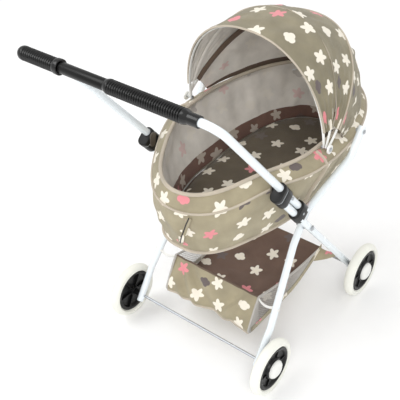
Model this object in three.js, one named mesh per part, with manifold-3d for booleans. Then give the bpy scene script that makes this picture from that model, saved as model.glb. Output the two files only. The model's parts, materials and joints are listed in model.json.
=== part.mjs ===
// A doll stroller: two pairs of steel tube legs that cross like scissors, a telescopic push handle,
// a fabric bassinet hung on a wire ring, a folding hood on three ribs, a sling basket and four wheels.
// Millimetres. +X is the pusher's right, +Y is the way the stroller rolls, +Z is up, the floor is Z = 0.
import * as THREE from 'three';
import { mergeVertices } from 'three/addons/utils/BufferGeometryUtils.js';
import Module from 'manifold-3d';

const wasm = await Module();
wasm.setup();

// ---------------------------------------------------------------- driving dimensions
const gap = 0.3;
const degree = Math.PI / 180;

const wheelRadius = 55;
const wheelX = 165;
const frontAxleY = 162;
const rearAxleY = -148;
const axleRadius = 2.5;
const boreRadius = axleRadius + gap;
const pivotShoulder = 7;

const tubeRadius = 6.5;
const frontLegX = 139;
const frontLegAngle = 52 * degree;
const frontLegFoot = 12;
const frontLegLength = 420;
const rearLegAngle = 54 * degree;
const rearLegFootX = 139;
const rearLegCrossX = 124.4;
const rearLegTopX = 166;
const rearLegFoot = 12;
const rearLegLength = 446;

const handleOffset = 14.4;
const handleStart = 318;
const handleCorner = 662;
const handleBend = 28;
const clampHigh = 409;
const clampHighLength = 33;
const clampLow = 326;
const clampLowLength = 28;
const barLeftEnd = -238;

const rimHeight = 390;
const rimCentreY = 53;
const rimHalfWidth = 157;
const rimHalfLength = 241;
const collarHalfWidth = 130;
const floorHeight = 272;
const floorHalfWidth = 108;
const floorHalfLength = 231;
const wall = 2.5;

const hoodY = 35;
const hoodZ = 408;
const ribRadius = 2.2;
const hoodSquareness = 2.2;
const hoodRibs = {
  front: { angle: 95 * degree, halfWidth: 140.6, height: 180 },
  mid: { angle: 66 * degree, halfWidth: 144.4, height: 192 },
  rear: { angle: 38 * degree, halfWidth: 148.2, height: 216 },
};

const basketHalfWidth = 96;
const basketFloor = 70;

// ---------------------------------------------------------------- materials
function finish(color, roughness, metalness) {
  return new THREE.MeshStandardMaterial({ color, roughness, metalness });
}

const whiteSteel = finish(0xf2f5f5, 0.35, 0.1);
const zinc = finish(0xb9bcbe, 0.35, 0.9);
const blackPlastic = finish(0x1d1d1c, 0.45, 0);
const blackRubber = finish(0x171717, 0.7, 0);
const whiteTyre = finish(0xf0f0e8, 0.6, 0);
const whitePlastic = finish(0xeeeeea, 0.4, 0);
const khakiFabric = finish(0x8f8672, 0.95, 0);
const brownFabric = finish(0x54493c, 0.95, 0);
const meshFabric = finish(0xb9b6b0, 0.95, 0);
const greyBoard = finish(0x6d665c, 0.9, 0);

// ---------------------------------------------------------------- the scene graph
const stroller = new THREE.Group();

function add(name, geometry, material) {
  const mesh = new THREE.Mesh(geometry, material);
  mesh.name = name;
  stroller.add(mesh);
  return mesh;
}

const sides = [
  { name: 'left', sign: -1 },
  { name: 'right', sign: 1 },
];

// ---------------------------------------------------------------- solids and booleans
function welded(geometry) {
  const clean = geometry.index ? geometry.toNonIndexed() : geometry.clone();
  clean.deleteAttribute('normal');
  clean.deleteAttribute('uv');
  return mergeVertices(clean, 1e-4);
}

function toSolid(geometry) {
  const merged = welded(geometry);
  const mesh = new wasm.Mesh({
    numProp: 3,
    vertProperties: new Float32Array(merged.attributes.position.array),
    triVerts: new Uint32Array(merged.index.array),
  });
  return new wasm.Manifold(mesh);
}

function toGeometry(solid) {
  const mesh = solid.getMesh();
  const geometry = new THREE.BufferGeometry();
  geometry.setAttribute('position', new THREE.BufferAttribute(new Float32Array(mesh.vertProperties), 3));
  geometry.setIndex(new THREE.BufferAttribute(new Uint32Array(mesh.triVerts), 1));
  geometry.computeVertexNormals();
  return geometry;
}

function cut(geometry, ...tools) {
  let solid = toSolid(geometry);
  for (const tool of tools) {
    solid = solid.subtract(toSolid(tool));
  }
  return toGeometry(solid);
}

// ---------------------------------------------------------------- shape helpers
// A path given by its own list of points, so that a sweep has one section at each of them.
class PointPath extends THREE.Curve {
  constructor(points) {
    super();
    this.points = points;
  }

  getPoint(t, target = new THREE.Vector3()) {
    const place = t * (this.points.length - 1);
    const index = Math.min(Math.floor(place), this.points.length - 2);
    return target.lerpVectors(this.points[index], this.points[index + 1], place - index);
  }

  getPointAt(u, target) {
    return this.getPoint(u, target);
  }

  getTangent(t, target = new THREE.Vector3()) {
    const last = this.points.length - 1;
    const index = Math.round(t * last);
    const before = this.points[Math.max(index - 1, 0)];
    const here = this.points[index];
    const after = this.points[Math.min(index + 1, last)];
    const into = here.clone().sub(before).normalize();
    const out = after.clone().sub(here).normalize();
    return target.addVectors(into, out).normalize();
  }

  getTangentAt(u, target) {
    return this.getTangent(u, target);
  }
}

function sweep(points, radius, around = 12) {
  const section = new THREE.Shape();
  section.absarc(0, 0, radius, 0, 2 * Math.PI);
  return new THREE.ExtrudeGeometry(section, {
    steps: points.length - 1,
    curveSegments: around / 2,
    extrudePath: new PointPath(points),
  });
}

// Straight runs between corners, each inner corner rounded to its bend radius.
function rounded(corners, bendRadius, arcSteps = 6) {
  const points = [corners[0]];
  for (let i = 1; i < corners.length - 1; i += 1) {
    const corner = corners[i];
    const back = corners[i - 1].clone().sub(corner).normalize();
    const ahead = corners[i + 1].clone().sub(corner).normalize();
    const turn = Math.PI - back.angleTo(ahead);
    const reach = bendRadius * Math.tan(turn / 2);
    const bisector = back.clone().add(ahead).normalize();
    const centre = corner.clone().addScaledVector(bisector, bendRadius / Math.cos(turn / 2));
    const first = corner.clone().addScaledVector(back, reach).sub(centre);
    const last = corner.clone().addScaledVector(ahead, reach).sub(centre);
    for (let k = 0; k <= arcSteps; k += 1) {
      const part = k / arcSteps;
      const a = Math.sin((1 - part) * turn) / Math.sin(turn);
      const b = Math.sin(part * turn) / Math.sin(turn);
      points.push(centre.clone().addScaledVector(first, a).addScaledVector(last, b));
    }
  }
  points.push(corners[corners.length - 1]);
  return points;
}

function cylinderX(radius, fromX, toX, y, z, around = 16) {
  const geometry = new THREE.CylinderGeometry(radius, radius, toX - fromX, around);
  geometry.rotateZ(-Math.PI / 2);
  geometry.translate((fromX + toX) / 2, y, z);
  return geometry;
}

// A turned piece on an X axis. Each profile point is [radius, distance along X].
function turnedX(profile, around, sign = 1) {
  const points = profile.map(([r, x]) => new THREE.Vector2(r, x));
  const geometry = new THREE.LatheGeometry(points, around);
  geometry.rotateZ(-Math.PI / 2);
  if (sign < 0) {
    geometry.rotateY(Math.PI);
  }
  return geometry;
}

// Triangles listed as corners, turned so that the solid's faces point out.
function closedMesh(corners) {
  let volume = 0;
  for (let i = 0; i < corners.length; i += 3) {
    const [a, b, c] = corners.slice(i, i + 3);
    volume += a.dot(b.clone().cross(c));
  }
  const ordered = volume > 0 ? corners : corners.slice().reverse();
  const geometry = new THREE.BufferGeometry().setFromPoints(ordered);
  return welded(geometry);
}

// Closed rings of equal count, joined one to the next, with both ends capped to their centres.
function loft(rings, looped = false) {
  const corners = [];
  const count = rings[0].length;
  const walk = looped ? [...rings, rings[0]] : rings;
  for (let i = 0; i + 1 < walk.length; i += 1) {
    for (let j = 0; j < count; j += 1) {
      const k = (j + 1) % count;
      corners.push(walk[i][j], walk[i + 1][j], walk[i + 1][k]);
      corners.push(walk[i][j], walk[i + 1][k], walk[i][k]);
    }
  }
  if (looped) {
    return closedMesh(corners);
  }
  const cap = (ring, flip) => {
    const centre = new THREE.Vector3();
    ring.forEach((point) => centre.addScaledVector(point, 1 / ring.length));
    for (let j = 0; j < count; j += 1) {
      const k = (j + 1) % count;
      const [p, q] = flip ? [ring[k], ring[j]] : [ring[j], ring[k]];
      corners.push(centre, p, q);
    }
  };
  cap(rings[0], false);
  cap(rings[rings.length - 1], true);
  return closedMesh(corners);
}

// A sheet with thickness: outer and inner are grids of points, rows by columns.
function thickSheet(outer, inner) {
  const corners = [];
  const quad = (a, b, c, d) => corners.push(a, b, c, a, c, d);
  const rows = outer.length;
  const columns = outer[0].length;
  for (let i = 0; i + 1 < rows; i += 1) {
    for (let j = 0; j + 1 < columns; j += 1) {
      quad(outer[i][j], outer[i + 1][j], outer[i + 1][j + 1], outer[i][j + 1]);
      quad(inner[i][j], inner[i][j + 1], inner[i + 1][j + 1], inner[i + 1][j]);
    }
    quad(outer[i][0], inner[i][0], inner[i + 1][0], outer[i + 1][0]);
    const e = columns - 1;
    quad(outer[i][e], outer[i + 1][e], inner[i + 1][e], inner[i][e]);
  }
  for (let j = 0; j + 1 < columns; j += 1) {
    quad(outer[0][j], outer[0][j + 1], inner[0][j + 1], inner[0][j]);
    const e = rows - 1;
    quad(outer[e][j], inner[e][j], inner[e][j + 1], outer[e][j + 1]);
  }
  return closedMesh(corners);
}

// ---------------------------------------------------------------- places on the frame
const frontLegWay = new THREE.Vector3(0, -Math.cos(frontLegAngle), Math.sin(frontLegAngle));
const frontLegUp = new THREE.Vector3(0, Math.sin(frontLegAngle), Math.cos(frontLegAngle));
const rearLegWay = new THREE.Vector3(0, Math.cos(rearLegAngle), Math.sin(rearLegAngle));

function onFrontLeg(x, along, up = 0) {
  return new THREE.Vector3(x, frontAxleY, wheelRadius)
    .addScaledVector(frontLegWay, along)
    .addScaledVector(frontLegUp, up);
}

function onRearLeg(x, along) {
  return new THREE.Vector3(x, rearAxleY, wheelRadius).addScaledVector(rearLegWay, along);
}

// Where the two leg lines cross in the side view.
const track = frontAxleY - rearAxleY;
const crossFront = track * Math.sin(rearLegAngle) / Math.sin(frontLegAngle + rearLegAngle);
const crossRear = track * Math.sin(frontLegAngle) / Math.sin(frontLegAngle + rearLegAngle);
const cross = onFrontLeg(0, crossFront);

function alongFrontLeg(geometry, x, along, up = 0) {
  geometry.rotateX(Math.PI / 2 - frontLegAngle);
  const place = onFrontLeg(x, along, up);
  geometry.translate(place.x, place.y, place.z);
  return geometry;
}

// ---------------------------------------------------------------- legs, axles and pivots
function frontLeg(x) {
  const ends = [onFrontLeg(x, -frontLegFoot), onFrontLeg(x, frontLegLength)];
  const reach = 2 * tubeRadius;
  const axleHole = cylinderX(boreRadius, x - reach, x + reach, frontAxleY, wheelRadius);
  const pivotHole = cylinderX(boreRadius, x - reach, x + reach, cross.y, cross.z);
  return cut(sweep(ends, tubeRadius), axleHole, pivotHole);
}

// The rear leg leans in to the crossing, then spreads to pass outside the bassinet.
function rearLeg(sign) {
  const corners = [
    onRearLeg(sign * rearLegFootX, -rearLegFoot),
    onRearLeg(sign * rearLegFootX, 60),
    onRearLeg(sign * rearLegCrossX, crossRear - 40),
    onRearLeg(sign * rearLegCrossX, crossRear + 26),
    onRearLeg(sign * rearLegTopX, crossRear + 138),
    onRearLeg(sign * rearLegTopX, rearLegLength),
  ];
  const tube = sweep(rounded(corners, 60, 3), tubeRadius);
  const foot = sign * rearLegFootX;
  const waist = sign * rearLegCrossX;
  const top = sign * rearLegTopX;
  const reach = 2 * tubeRadius;
  const rivetPlace = onRearLeg(top, rearLegLength - 8);
  const holes = [
    cylinderX(boreRadius, foot - reach, foot + reach, rearAxleY, wheelRadius),
    cylinderX(boreRadius, waist - reach, waist + reach, cross.y, cross.z),
    cylinderX(2 + gap, top - reach, top + reach, rivetPlace.y, rivetPlace.z),
  ];
  return cut(tube, ...holes);
}

// A rivet with a domed head at each end, on an X axis.
// A rivet along X with a head at each end. shoulder lists profile points between the heads.
function rivet(radius, headRadius, headDepth, fromX, toX, place, shoulder = []) {
  const profile = [
    [0, fromX - headDepth],
    [headRadius * 0.7, fromX - headDepth],
    [headRadius, fromX - headDepth * 0.4],
    [headRadius, fromX],
    [radius, fromX],
    ...shoulder,
    [radius, toX],
    [headRadius, toX],
    [headRadius, toX + headDepth * 0.4],
    [headRadius * 0.7, toX + headDepth],
    [0, toX + headDepth],
  ];
  const geometry = turnedX(profile, 10);
  geometry.translate(0, place.y, place.z);
  return geometry;
}

function tubeRing(outerRadius, innerRadius, fromX, toX, place, around = 14) {
  const profile = [
    [innerRadius, fromX],
    [outerRadius, fromX],
    [outerRadius, toX],
    [innerRadius, toX],
    [innerRadius, fromX],
  ];
  const geometry = turnedX(profile, around);
  geometry.translate(0, place.y, place.z);
  return geometry;
}

function between(a, b) {
  return [Math.min(a, b), Math.max(a, b)];
}

for (const { name, sign } of sides) {
  add(`front_leg_${name}`, frontLeg(sign * frontLegX), whiteSteel);
  add(`rear_leg_${name}`, rearLeg(sign), whiteSteel);
  const inner = sign * (rearLegCrossX - tubeRadius - gap);
  const outer = sign * (frontLegX + tubeRadius + gap);
  const [low, high] = between(inner, outer);
  const [shoulderLow, shoulderHigh] = between(
    sign * (rearLegCrossX + tubeRadius + gap),
    sign * (frontLegX - tubeRadius - gap),
  );
  const shoulder = [
    [axleRadius, shoulderLow],
    [pivotShoulder, shoulderLow],
    [pivotShoulder, shoulderHigh],
    [axleRadius, shoulderHigh],
  ];
  add(`leg_pivot_${name}`, rivet(axleRadius, 5.5, 2.2, low, high, cross, shoulder), zinc);
  const top = onRearLeg(0, rearLegLength - 8);
  const [topLow, topHigh] = between(
    sign * (rearLegTopX - tubeRadius - gap),
    sign * (rearLegTopX + tubeRadius + gap),
  );
  add(`leg_top_rivet_${name}`, rivet(2, 4, 1.6, topLow, topHigh, top), zinc);
}

const axleHalf = wheelX + 13.4;
for (const [name, y] of [['front', frontAxleY], ['rear', rearAxleY]]) {
  const rod = cylinderX(axleRadius, -axleHalf, axleHalf, y, wheelRadius);
  add(`${name}_axle`, rod, zinc);
}

// ---------------------------------------------------------------- wheels
// Profiles run outward from the wheel's middle plane.
const hubRadius = 42;
const tyreProfile = [
  [hubRadius + gap, -6.5],
  [46.5, -9.8],
  [51.8, -8.4],
  [54, -5],
  [wheelRadius, 0],
  [54, 5],
  [51.8, 8.4],
  [46.5, 9.8],
  [hubRadius + gap, 6.5],
  [hubRadius + gap, -6.5],
];
const hubProfile = [
  [boreRadius, -9],
  [9.5, -9],
  [9.5, -1.5],
  [34, -1.5],
  [36, -6.5],
  [hubRadius, -6.5],
  [hubRadius, 7.5],
  [37, 8.2],
  [34, 3.5],
  [20, 3.5],
  [19, 8.2],
  [boreRadius, 8.2],
  [boreRadius, -9],
];
const capProfile = [
  [0, 14],
  [boreRadius, 14],
  [boreRadius, 8.6],
  [18, 8.6],
  [18, 11],
  [16, 14.4],
  [11, 16.8],
  [0, 17.8],
];

for (const { name: side, sign } of sides) {
  for (const [end, y] of [['front', frontAxleY], ['rear', rearAxleY]]) {
    const place = new THREE.Vector3(sign * wheelX, y, wheelRadius);
    const pieces = [
      ['tyre', turnedX(tyreProfile, 28, sign), whiteTyre],
      ['hub', turnedX(hubProfile, 20, sign), blackPlastic],
      ['cap', turnedX(capProfile, 16, sign), whitePlastic],
    ];
    for (const [piece, geometry, material] of pieces) {
      geometry.translate(place.x, place.y, place.z);
      add(`${piece}_${end}_${side}`, geometry, material);
    }
    const [low, high] = between(
      sign * (frontLegX + tubeRadius + gap),
      sign * (wheelX - 9 - gap),
    );
    add(`spacer_${end}_${side}`, tubeRing(6, boreRadius, low, high, place), blackPlastic);
  }
}

// ---------------------------------------------------------------- push handle
const buttonAlong = 382;
const buttonRadius = 3;
const buttonRise = 2.5;
const buttonDepth = 4;

function buttonHole(x, sign) {
  const from = x + sign * (tubeRadius - buttonDepth - buttonRise - 0.5);
  const [low, high] = between(from, x + sign * 2 * tubeRadius);
  const place = onFrontLeg(x, buttonAlong, handleOffset);
  return cylinderX(buttonRadius + gap, low, high, place.y, place.z, 14);
}

const barPlace = onFrontLeg(0, handleCorner, handleOffset);
const barPoint = (x) => new THREE.Vector3(x, barPlace.y, barPlace.z);
const rightArm = rounded(
  [onFrontLeg(frontLegX, handleStart, handleOffset), barPoint(frontLegX), barPoint(barLeftEnd)],
  handleBend,
  8,
);
add('handle_tube', cut(sweep(rightArm, tubeRadius), buttonHole(frontLegX, 1)), whiteSteel);

const sleeveRadius = 9.4;
const gripRadius = 12;
const sleeveRight = -66;
const sleeveLeft = -160;
const gripRight = 108;
const gripLeft = -254;

const leftArmTop = handleCorner - sleeveRadius - gap;
const leftArm = [
  onFrontLeg(-frontLegX, handleStart, handleOffset),
  onFrontLeg(-frontLegX, leftArmTop, handleOffset),
];
add('handle_arm_left', cut(sweep(leftArm, tubeRadius), buttonHole(-frontLegX, -1)), whiteSteel);

// The grips and the sleeve slide over the cross bar.
const barBore = tubeRadius + gap;
const sleeve = tubeRing(sleeveRadius, barBore, sleeveLeft + gap, sleeveRight - gap, barPlace);
add('bar_sleeve', sleeve, blackPlastic);
const gripProfile = [
  [barBore, sleeveRight],
  [sleeveRadius + 0.6, sleeveRight],
  [gripRadius, sleeveRight + 7],
  [gripRadius, gripRight - 30],
  [gripRadius - 1.5, gripRight - 22],
  [gripRadius - 3, gripRight - 18],
  [gripRadius - 3, gripRight],
  [barBore, gripRight],
  [barBore, sleeveRight],
];
const domeProfile = [
  [0, gripLeft],
  [6, gripLeft + 1.6],
  [10, gripLeft + 5.5],
  [gripRadius, gripLeft + 12],
  [gripRadius, sleeveLeft - 8],
  [gripRadius + 1, sleeveLeft - 6],
  [gripRadius + 1, sleeveLeft - 1],
  [gripRadius, sleeveLeft],
  [barBore, sleeveLeft],
  [barBore, barLeftEnd - gap],
  [0, barLeftEnd - gap],
];
for (const [name, profile] of [['grip_right', gripProfile], ['grip_left', domeProfile]]) {
  const geometry = turnedX(profile, 20);
  geometry.translate(0, barPlace.y, barPlace.z);
  add(name, geometry, blackRubber);
}

// ---------------------------------------------------------------- clamps and snap buttons
// A rounded block across both tubes, drawn in the leg's cross section.
function clampBlock(halfLength) {
  const wrap = tubeRadius + 3.4;
  const shape = new THREE.Shape();
  shape.absarc(0, 0, wrap, Math.PI, 2 * Math.PI);
  shape.absarc(0, handleOffset, wrap, 0, Math.PI);
  const geometry = new THREE.ExtrudeGeometry(shape, {
    depth: 2 * halfLength,
    bevelEnabled: true,
    bevelThickness: 1.2,
    bevelSize: 1.2,
    bevelSegments: 1,
    curveSegments: 5,
  });
  geometry.translate(0, 0, -halfLength);
  return geometry;
}

function tubeTool(up, from, to) {
  const geometry = new THREE.CylinderGeometry(barBore, barBore, to - from, 14);
  geometry.rotateX(Math.PI / 2);
  geometry.translate(0, up, (from + to) / 2);
  return geometry;
}

for (const { name, sign } of sides) {
  const x = sign * frontLegX;
  const legEnd = frontLegLength - clampHigh + gap;
  const upperBores = [tubeTool(handleOffset, -40, 40), tubeTool(0, -40, legEnd)];
  const upper = cut(clampBlock(clampHighLength / 2), ...upperBores);
  add(`upper_clamp_${name}`, alongFrontLeg(upper, x, clampHigh), blackPlastic);
  const lowerBores = [tubeTool(handleOffset, -40, 40), tubeTool(0, -40, 40)];
  const lower = cut(clampBlock(clampLowLength / 2), ...lowerBores);
  add(`lower_clamp_${name}`, alongFrontLeg(lower, x, clampLow), blackPlastic);

  const place = onFrontLeg(x, buttonAlong, handleOffset);
  const base = tubeRadius - buttonDepth;
  const profile = [
    [0, base],
    [buttonRadius, base],
    [buttonRadius, tubeRadius + 1],
    [2.2, tubeRadius + buttonRise - 0.5],
    [0, tubeRadius + buttonRise],
  ];
  const button = turnedX(profile, 14, sign);
  button.translate(place.x, place.y, place.z);
  add(`snap_button_${name}`, button, zinc);
}

// ---------------------------------------------------------------- bassinet
// An outline at one height: a rounded oval, squarer where squareness is above 2, that narrows
// between the clamps by the part given as taper.
const rimCount = 36;
const rimTaper = 0.11;

function narrowing(y, taper) {
  return 1 - taper * THREE.MathUtils.smoothstep(rimCentreY - y, 50, 170);
}

function outline(halfWidth, halfLength, height, squareness = 2, taper = rimTaper) {
  const ring = [];
  const power = 2 / squareness;
  for (let j = 0; j < rimCount; j += 1) {
    const angle = (2 * Math.PI * j) / rimCount;
    const c = Math.cos(angle);
    const s = Math.sin(angle);
    const x = halfWidth * Math.sign(c) * Math.abs(c) ** power;
    const y = rimCentreY + halfLength * Math.sign(s) * Math.abs(s) ** power;
    ring.push(new THREE.Vector3(x * narrowing(y, taper), y, height(y)));
  }
  return ring;
}

// The foot end of the wall, behind the axles, sits lower than the head end.
function dip(height, amount) {
  return (y) => height - amount * THREE.MathUtils.smoothstep(-y, 60, 190);
}

const level = (height) => () => height;

// The fabric body is sewn from four panels: a flat bottom with a stiff board in it, two leaning walls
// that meet at the head and the foot, and an inturned collar.
const bottomInset = 6;
const bottomHalfWidth = floorHalfWidth - bottomInset - gap;
const bottomHalfLength = floorHalfLength - bottomInset - gap;
const boardHalfWidth = floorHalfWidth - 10;
const boardHalfLength = floorHalfLength - 10;
const boardTop = floorHeight + 5.5;
const bottomRings = [
  outline(bottomHalfWidth, bottomHalfLength, level(floorHeight - 2), 2.6),
  outline(bottomHalfWidth, bottomHalfLength, level(floorHeight + 1), 2.6),
  outline(boardHalfWidth, boardHalfLength, level(floorHeight + 1.5), 2.6),
  outline(boardHalfWidth, boardHalfLength, level(boardTop), 2.6),
];
add('bassinet_bottom', loft(bottomRings), khakiFabric);

const seam = gap;
const wallOuter = [
  outline(floorHalfWidth - bottomInset, floorHalfLength - bottomInset, level(floorHeight - 2), 2.6),
  outline(floorHalfWidth, floorHalfLength, level(floorHeight + 2), 2.6),
  outline(floorHalfWidth + 18, floorHalfLength + 4, dip(floorHeight + 50, 10), 2.3),
  outline(rimHalfWidth - 6, rimHalfLength, dip(rimHeight - 12, 25), 2.1),
  outline(rimHalfWidth, rimHalfLength + 2, dip(rimHeight - 2 - seam, 28)),
];
const wallInner = [
  outline(floorHalfWidth - bottomInset, floorHalfLength - bottomInset, level(floorHeight + 1), 2.6),
  outline(floorHalfWidth - wall, floorHalfLength - wall, level(floorHeight + 4), 2.6),
  outline(floorHalfWidth + 18 - wall, floorHalfLength + 4 - wall, dip(floorHeight + 50, 10), 2.3),
  outline(rimHalfWidth - 6 - wall, rimHalfLength - wall, dip(rimHeight - 12, 25), 2.1),
  outline(rimHalfWidth - 4, rimHalfLength - 1, dip(rimHeight - seam, 27)),
];

// One side's half of each outline, from the foot round to the head.
function halfOutlines(rings, sign) {
  const quarter = rimCount / 4;
  return rings.map((ring) => {
    const half = [];
    for (let j = -quarter; j <= quarter; j += 1) {
      const index = sign > 0 ? j : rimCount / 2 - j;
      const point = ring[(index + rimCount) % rimCount].clone();
      if (Math.abs(j) === quarter) {
        point.x = (sign * gap) / 2;
      }
      half.push(point);
    }
    return half;
  });
}

for (const { name, sign } of sides) {
  const panel = thickSheet(halfOutlines(wallOuter, sign), halfOutlines(wallInner, sign));
  add(`bassinet_wall_${name}`, panel, khakiFabric);
}

const collarRings = [
  outline(rimHalfWidth, rimHalfLength + 2, dip(rimHeight - 2 + seam, 28)),
  outline(rimHalfWidth - 3, rimHalfLength, dip(rimHeight + 3, 26)),
  outline(collarHalfWidth, rimHalfLength - 10, dip(rimHeight + 15, 18)),
  outline(collarHalfWidth + 1, rimHalfLength - 9, dip(rimHeight + 12, 19)),
  outline(rimHalfWidth - 4, rimHalfLength - 1, dip(rimHeight + seam, 27)),
];
add('bassinet_collar', loft(collarRings, true), khakiFabric);

function slab(halfWidth, halfLength, from, to, squareness) {
  const soft = Math.min(2, (to - from) / 3);
  return loft([
    outline(halfWidth - soft, halfLength - soft, level(from), squareness),
    outline(halfWidth, halfLength, level(from + soft), squareness),
    outline(halfWidth, halfLength, level(to - soft), squareness),
    outline(halfWidth - soft, halfLength - soft, level(to), squareness),
  ]);
}

const pad = slab(floorHalfWidth - 8, floorHalfLength - 9, boardTop + gap, boardTop + 15, 2.6);
add('mattress', pad, brownFabric);

// The wire ring that holds the rim open. Its ends butt together at the head end.
const wireRadius = 2.5;
const wireHeight = (y) => rimHeight - 5 - 26 * THREE.MathUtils.smoothstep(-y, 60, 190);

function rimWire() {
  const points = [];
  const steps = 48;
  const open = 0.003;
  const halfWidth = rimHalfWidth - 9.5;
  const halfLength = rimHalfLength - 7;
  for (let i = 0; i <= steps; i += 1) {
    const angle = Math.PI / 2 + open + ((2 * Math.PI - 2 * open) * i) / steps;
    const y = rimCentreY + halfLength * Math.sin(angle);
    const x = halfWidth * Math.cos(angle) * narrowing(y, rimTaper);
    points.push(new THREE.Vector3(x, y, wireHeight(y)));
  }
  return sweep(points, wireRadius, 6);
}
add('rim_wire', rimWire(), whiteSteel);

// ---------------------------------------------------------------- brackets of the bassinet
const bracketY = -88;
const bracketZ = 396;
for (const { name, sign } of sides) {
  // A bent plate on the upper clamp's inner side, with the pin that the rim turns on.
  const plate = new THREE.Shape();
  plate.absarc(0, 0, 7, 0, Math.PI);
  plate.absarc(-2, -14, 6, Math.PI, 2 * Math.PI);
  const geometry = new THREE.ExtrudeGeometry(plate, { depth: 2.4, bevelEnabled: false, curveSegments: 8 });
  geometry.rotateX(Math.PI / 2);
  geometry.rotateZ(Math.PI / 2);
  const inner = frontLegX - tubeRadius - 3.4 - 1.2 - gap;
  geometry.translate(sign * (inner - 1.2) - 1.2, bracketY, bracketZ);
  add(`rim_bracket_${name}`, geometry, greyBoard);
}

// ---------------------------------------------------------------- hood
function hoodPoint(halfWidth, height, angle, turn) {
  const power = 2 / hoodSquareness;
  const c = Math.cos(turn);
  const s = Math.sin(turn);
  const x = halfWidth * Math.sign(c) * Math.abs(c) ** power;
  const out = height * Math.abs(s) ** power;
  return new THREE.Vector3(x, hoodY + out * Math.cos(angle), hoodZ + out * Math.sin(angle));
}

function rib({ angle, halfWidth, height }) {
  const points = [];
  const steps = 22;
  const start = 0.012;
  for (let i = 0; i <= steps; i += 1) {
    const turn = start + ((Math.PI - 2 * start) * i) / steps;
    points.push(hoodPoint(halfWidth, height, angle, turn));
  }
  const wire = toSolid(sweep(points, ribRadius, 6));
  let solid = wire;
  for (const { sign } of sides) {
    // The flattened end of the rib, drilled for the hood pin.
    const ear = new THREE.CylinderGeometry(5, 5, 2.4, 16);
    ear.rotateZ(Math.PI / 2);
    ear.translate(sign * halfWidth, hoodY, hoodZ);
    const hole = cylinderX(2 + gap, -4, 4, hoodY, hoodZ, 12);
    hole.translate(sign * halfWidth, 0, 0);
    solid = solid.add(toSolid(ear)).subtract(toSolid(hole));
  }
  return toGeometry(solid);
}

for (const [name, shape] of Object.entries(hoodRibs)) {
  add(`hood_rib_${name}`, rib(shape), whiteSteel);
}
for (const { name, sign } of sides) {
  const [low, high] = between(
    sign * (hoodRibs.front.halfWidth - ribRadius - gap),
    sign * (hoodRibs.rear.halfWidth + ribRadius + 3.2),
  );
  add(`hood_pin_${name}`, rivet(2, 4, 1.4, low, high, { y: hoodY, z: hoodZ }), zinc);
  const place = { y: hoodY, z: hoodZ };
  const [near, far] = between(
    sign * (hoodRibs.rear.halfWidth + ribRadius + gap),
    sign * (hoodRibs.rear.halfWidth + ribRadius + gap + 2.4),
  );
  add(`hood_mount_${name}`, tubeRing(8, 2 + gap, near, far, place), whitePlastic);
}

// Fabric between two ribs, lying outside them.
function panel(from, to, fromPart, toPart) {
  const lift = ribRadius + 0.9;
  const columns = 4;
  const steps = 18;
  const start = 0.14;
  const build = (extra) => {
    const grid = [];
    for (let i = 0; i <= steps; i += 1) {
      const turn = start + ((Math.PI - 2 * start) * i) / steps;
      const row = [];
      for (let j = 0; j < columns; j += 1) {
        const part = fromPart + ((toPart - fromPart) * j) / (columns - 1);
        const mix = THREE.MathUtils.lerp;
        const halfWidth = mix(from.halfWidth, to.halfWidth, part) + lift + extra;
        const height = mix(from.height, to.height, part) + lift + extra;
        row.push(hoodPoint(halfWidth, height, mix(from.angle, to.angle, part), turn));
      }
      grid.push(row);
    }
    return grid;
  };
  return thickSheet(build(1.6), build(0));
}
add('canopy_front', panel(hoodRibs.front, hoodRibs.mid, -0.06, 0.98), khakiFabric);
add('canopy_rear', panel(hoodRibs.mid, hoodRibs.rear, 0.02, 0.98), khakiFabric);

// The back of the hood runs from the rear rib down to the rim's head end.
function backCurtain() {
  const rear = hoodRibs.rear;
  const lift = ribRadius + 0.9;
  const steps = 18;
  const columns = 4;
  const start = 0.14;
  const build = (extra) => {
    const grid = [];
    for (let i = 0; i <= steps; i += 1) {
      const turn = start + ((Math.PI - 2 * start) * i) / steps;
      const top = hoodPoint(rear.halfWidth + lift + extra, rear.height + lift + extra, rear.angle, turn);
      const rimX = (rimHalfWidth - 12 + extra) * Math.cos(turn);
      const rimY = rimCentreY + (rimHalfLength - 6 + extra) * Math.sin(turn);
      const rim = new THREE.Vector3(rimX, rimY, rimHeight + 12);
      const row = [];
      for (let j = 0; j < columns; j += 1) {
        const part = 0.02 + (0.98 * j) / (columns - 1);
        const point = top.clone().lerp(rim, part);
        point.y += 14 * Math.sin(Math.PI * part) * Math.sin(turn);
        row.push(point);
      }
      grid.push(row);
    }
    return grid;
  };
  return thickSheet(build(1.6), build(0));
}
add('hood_back', backCurtain(), khakiFabric);

// ---------------------------------------------------------------- basket
// The sling's side view, from its back edge on the rear legs to its front edge on the front legs.
const slingLine = [
  [-90, 136],
  [-108, 103],
  [-124, 76],
  [-112, basketFloor],
  [-60, basketFloor],
  [19, basketFloor],
  [70, 86],
  [118, 108],
];

function slingGrid(lift) {
  return [-1, -0.5, 0, 0.5, 1].map((across) => slingLine.map(([y, z], index) => {
    const before = slingLine[Math.max(index - 1, 0)];
    const after = slingLine[Math.min(index + 1, slingLine.length - 1)];
    const along = new THREE.Vector2(after[0] - before[0], after[1] - before[1]).normalize();
    return new THREE.Vector3(across * basketHalfWidth, y - along.y * lift, z + along.x * lift);
  }));
}
add('basket_sling', thickSheet(slingGrid(2), slingGrid(0)), brownFabric);

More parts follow.
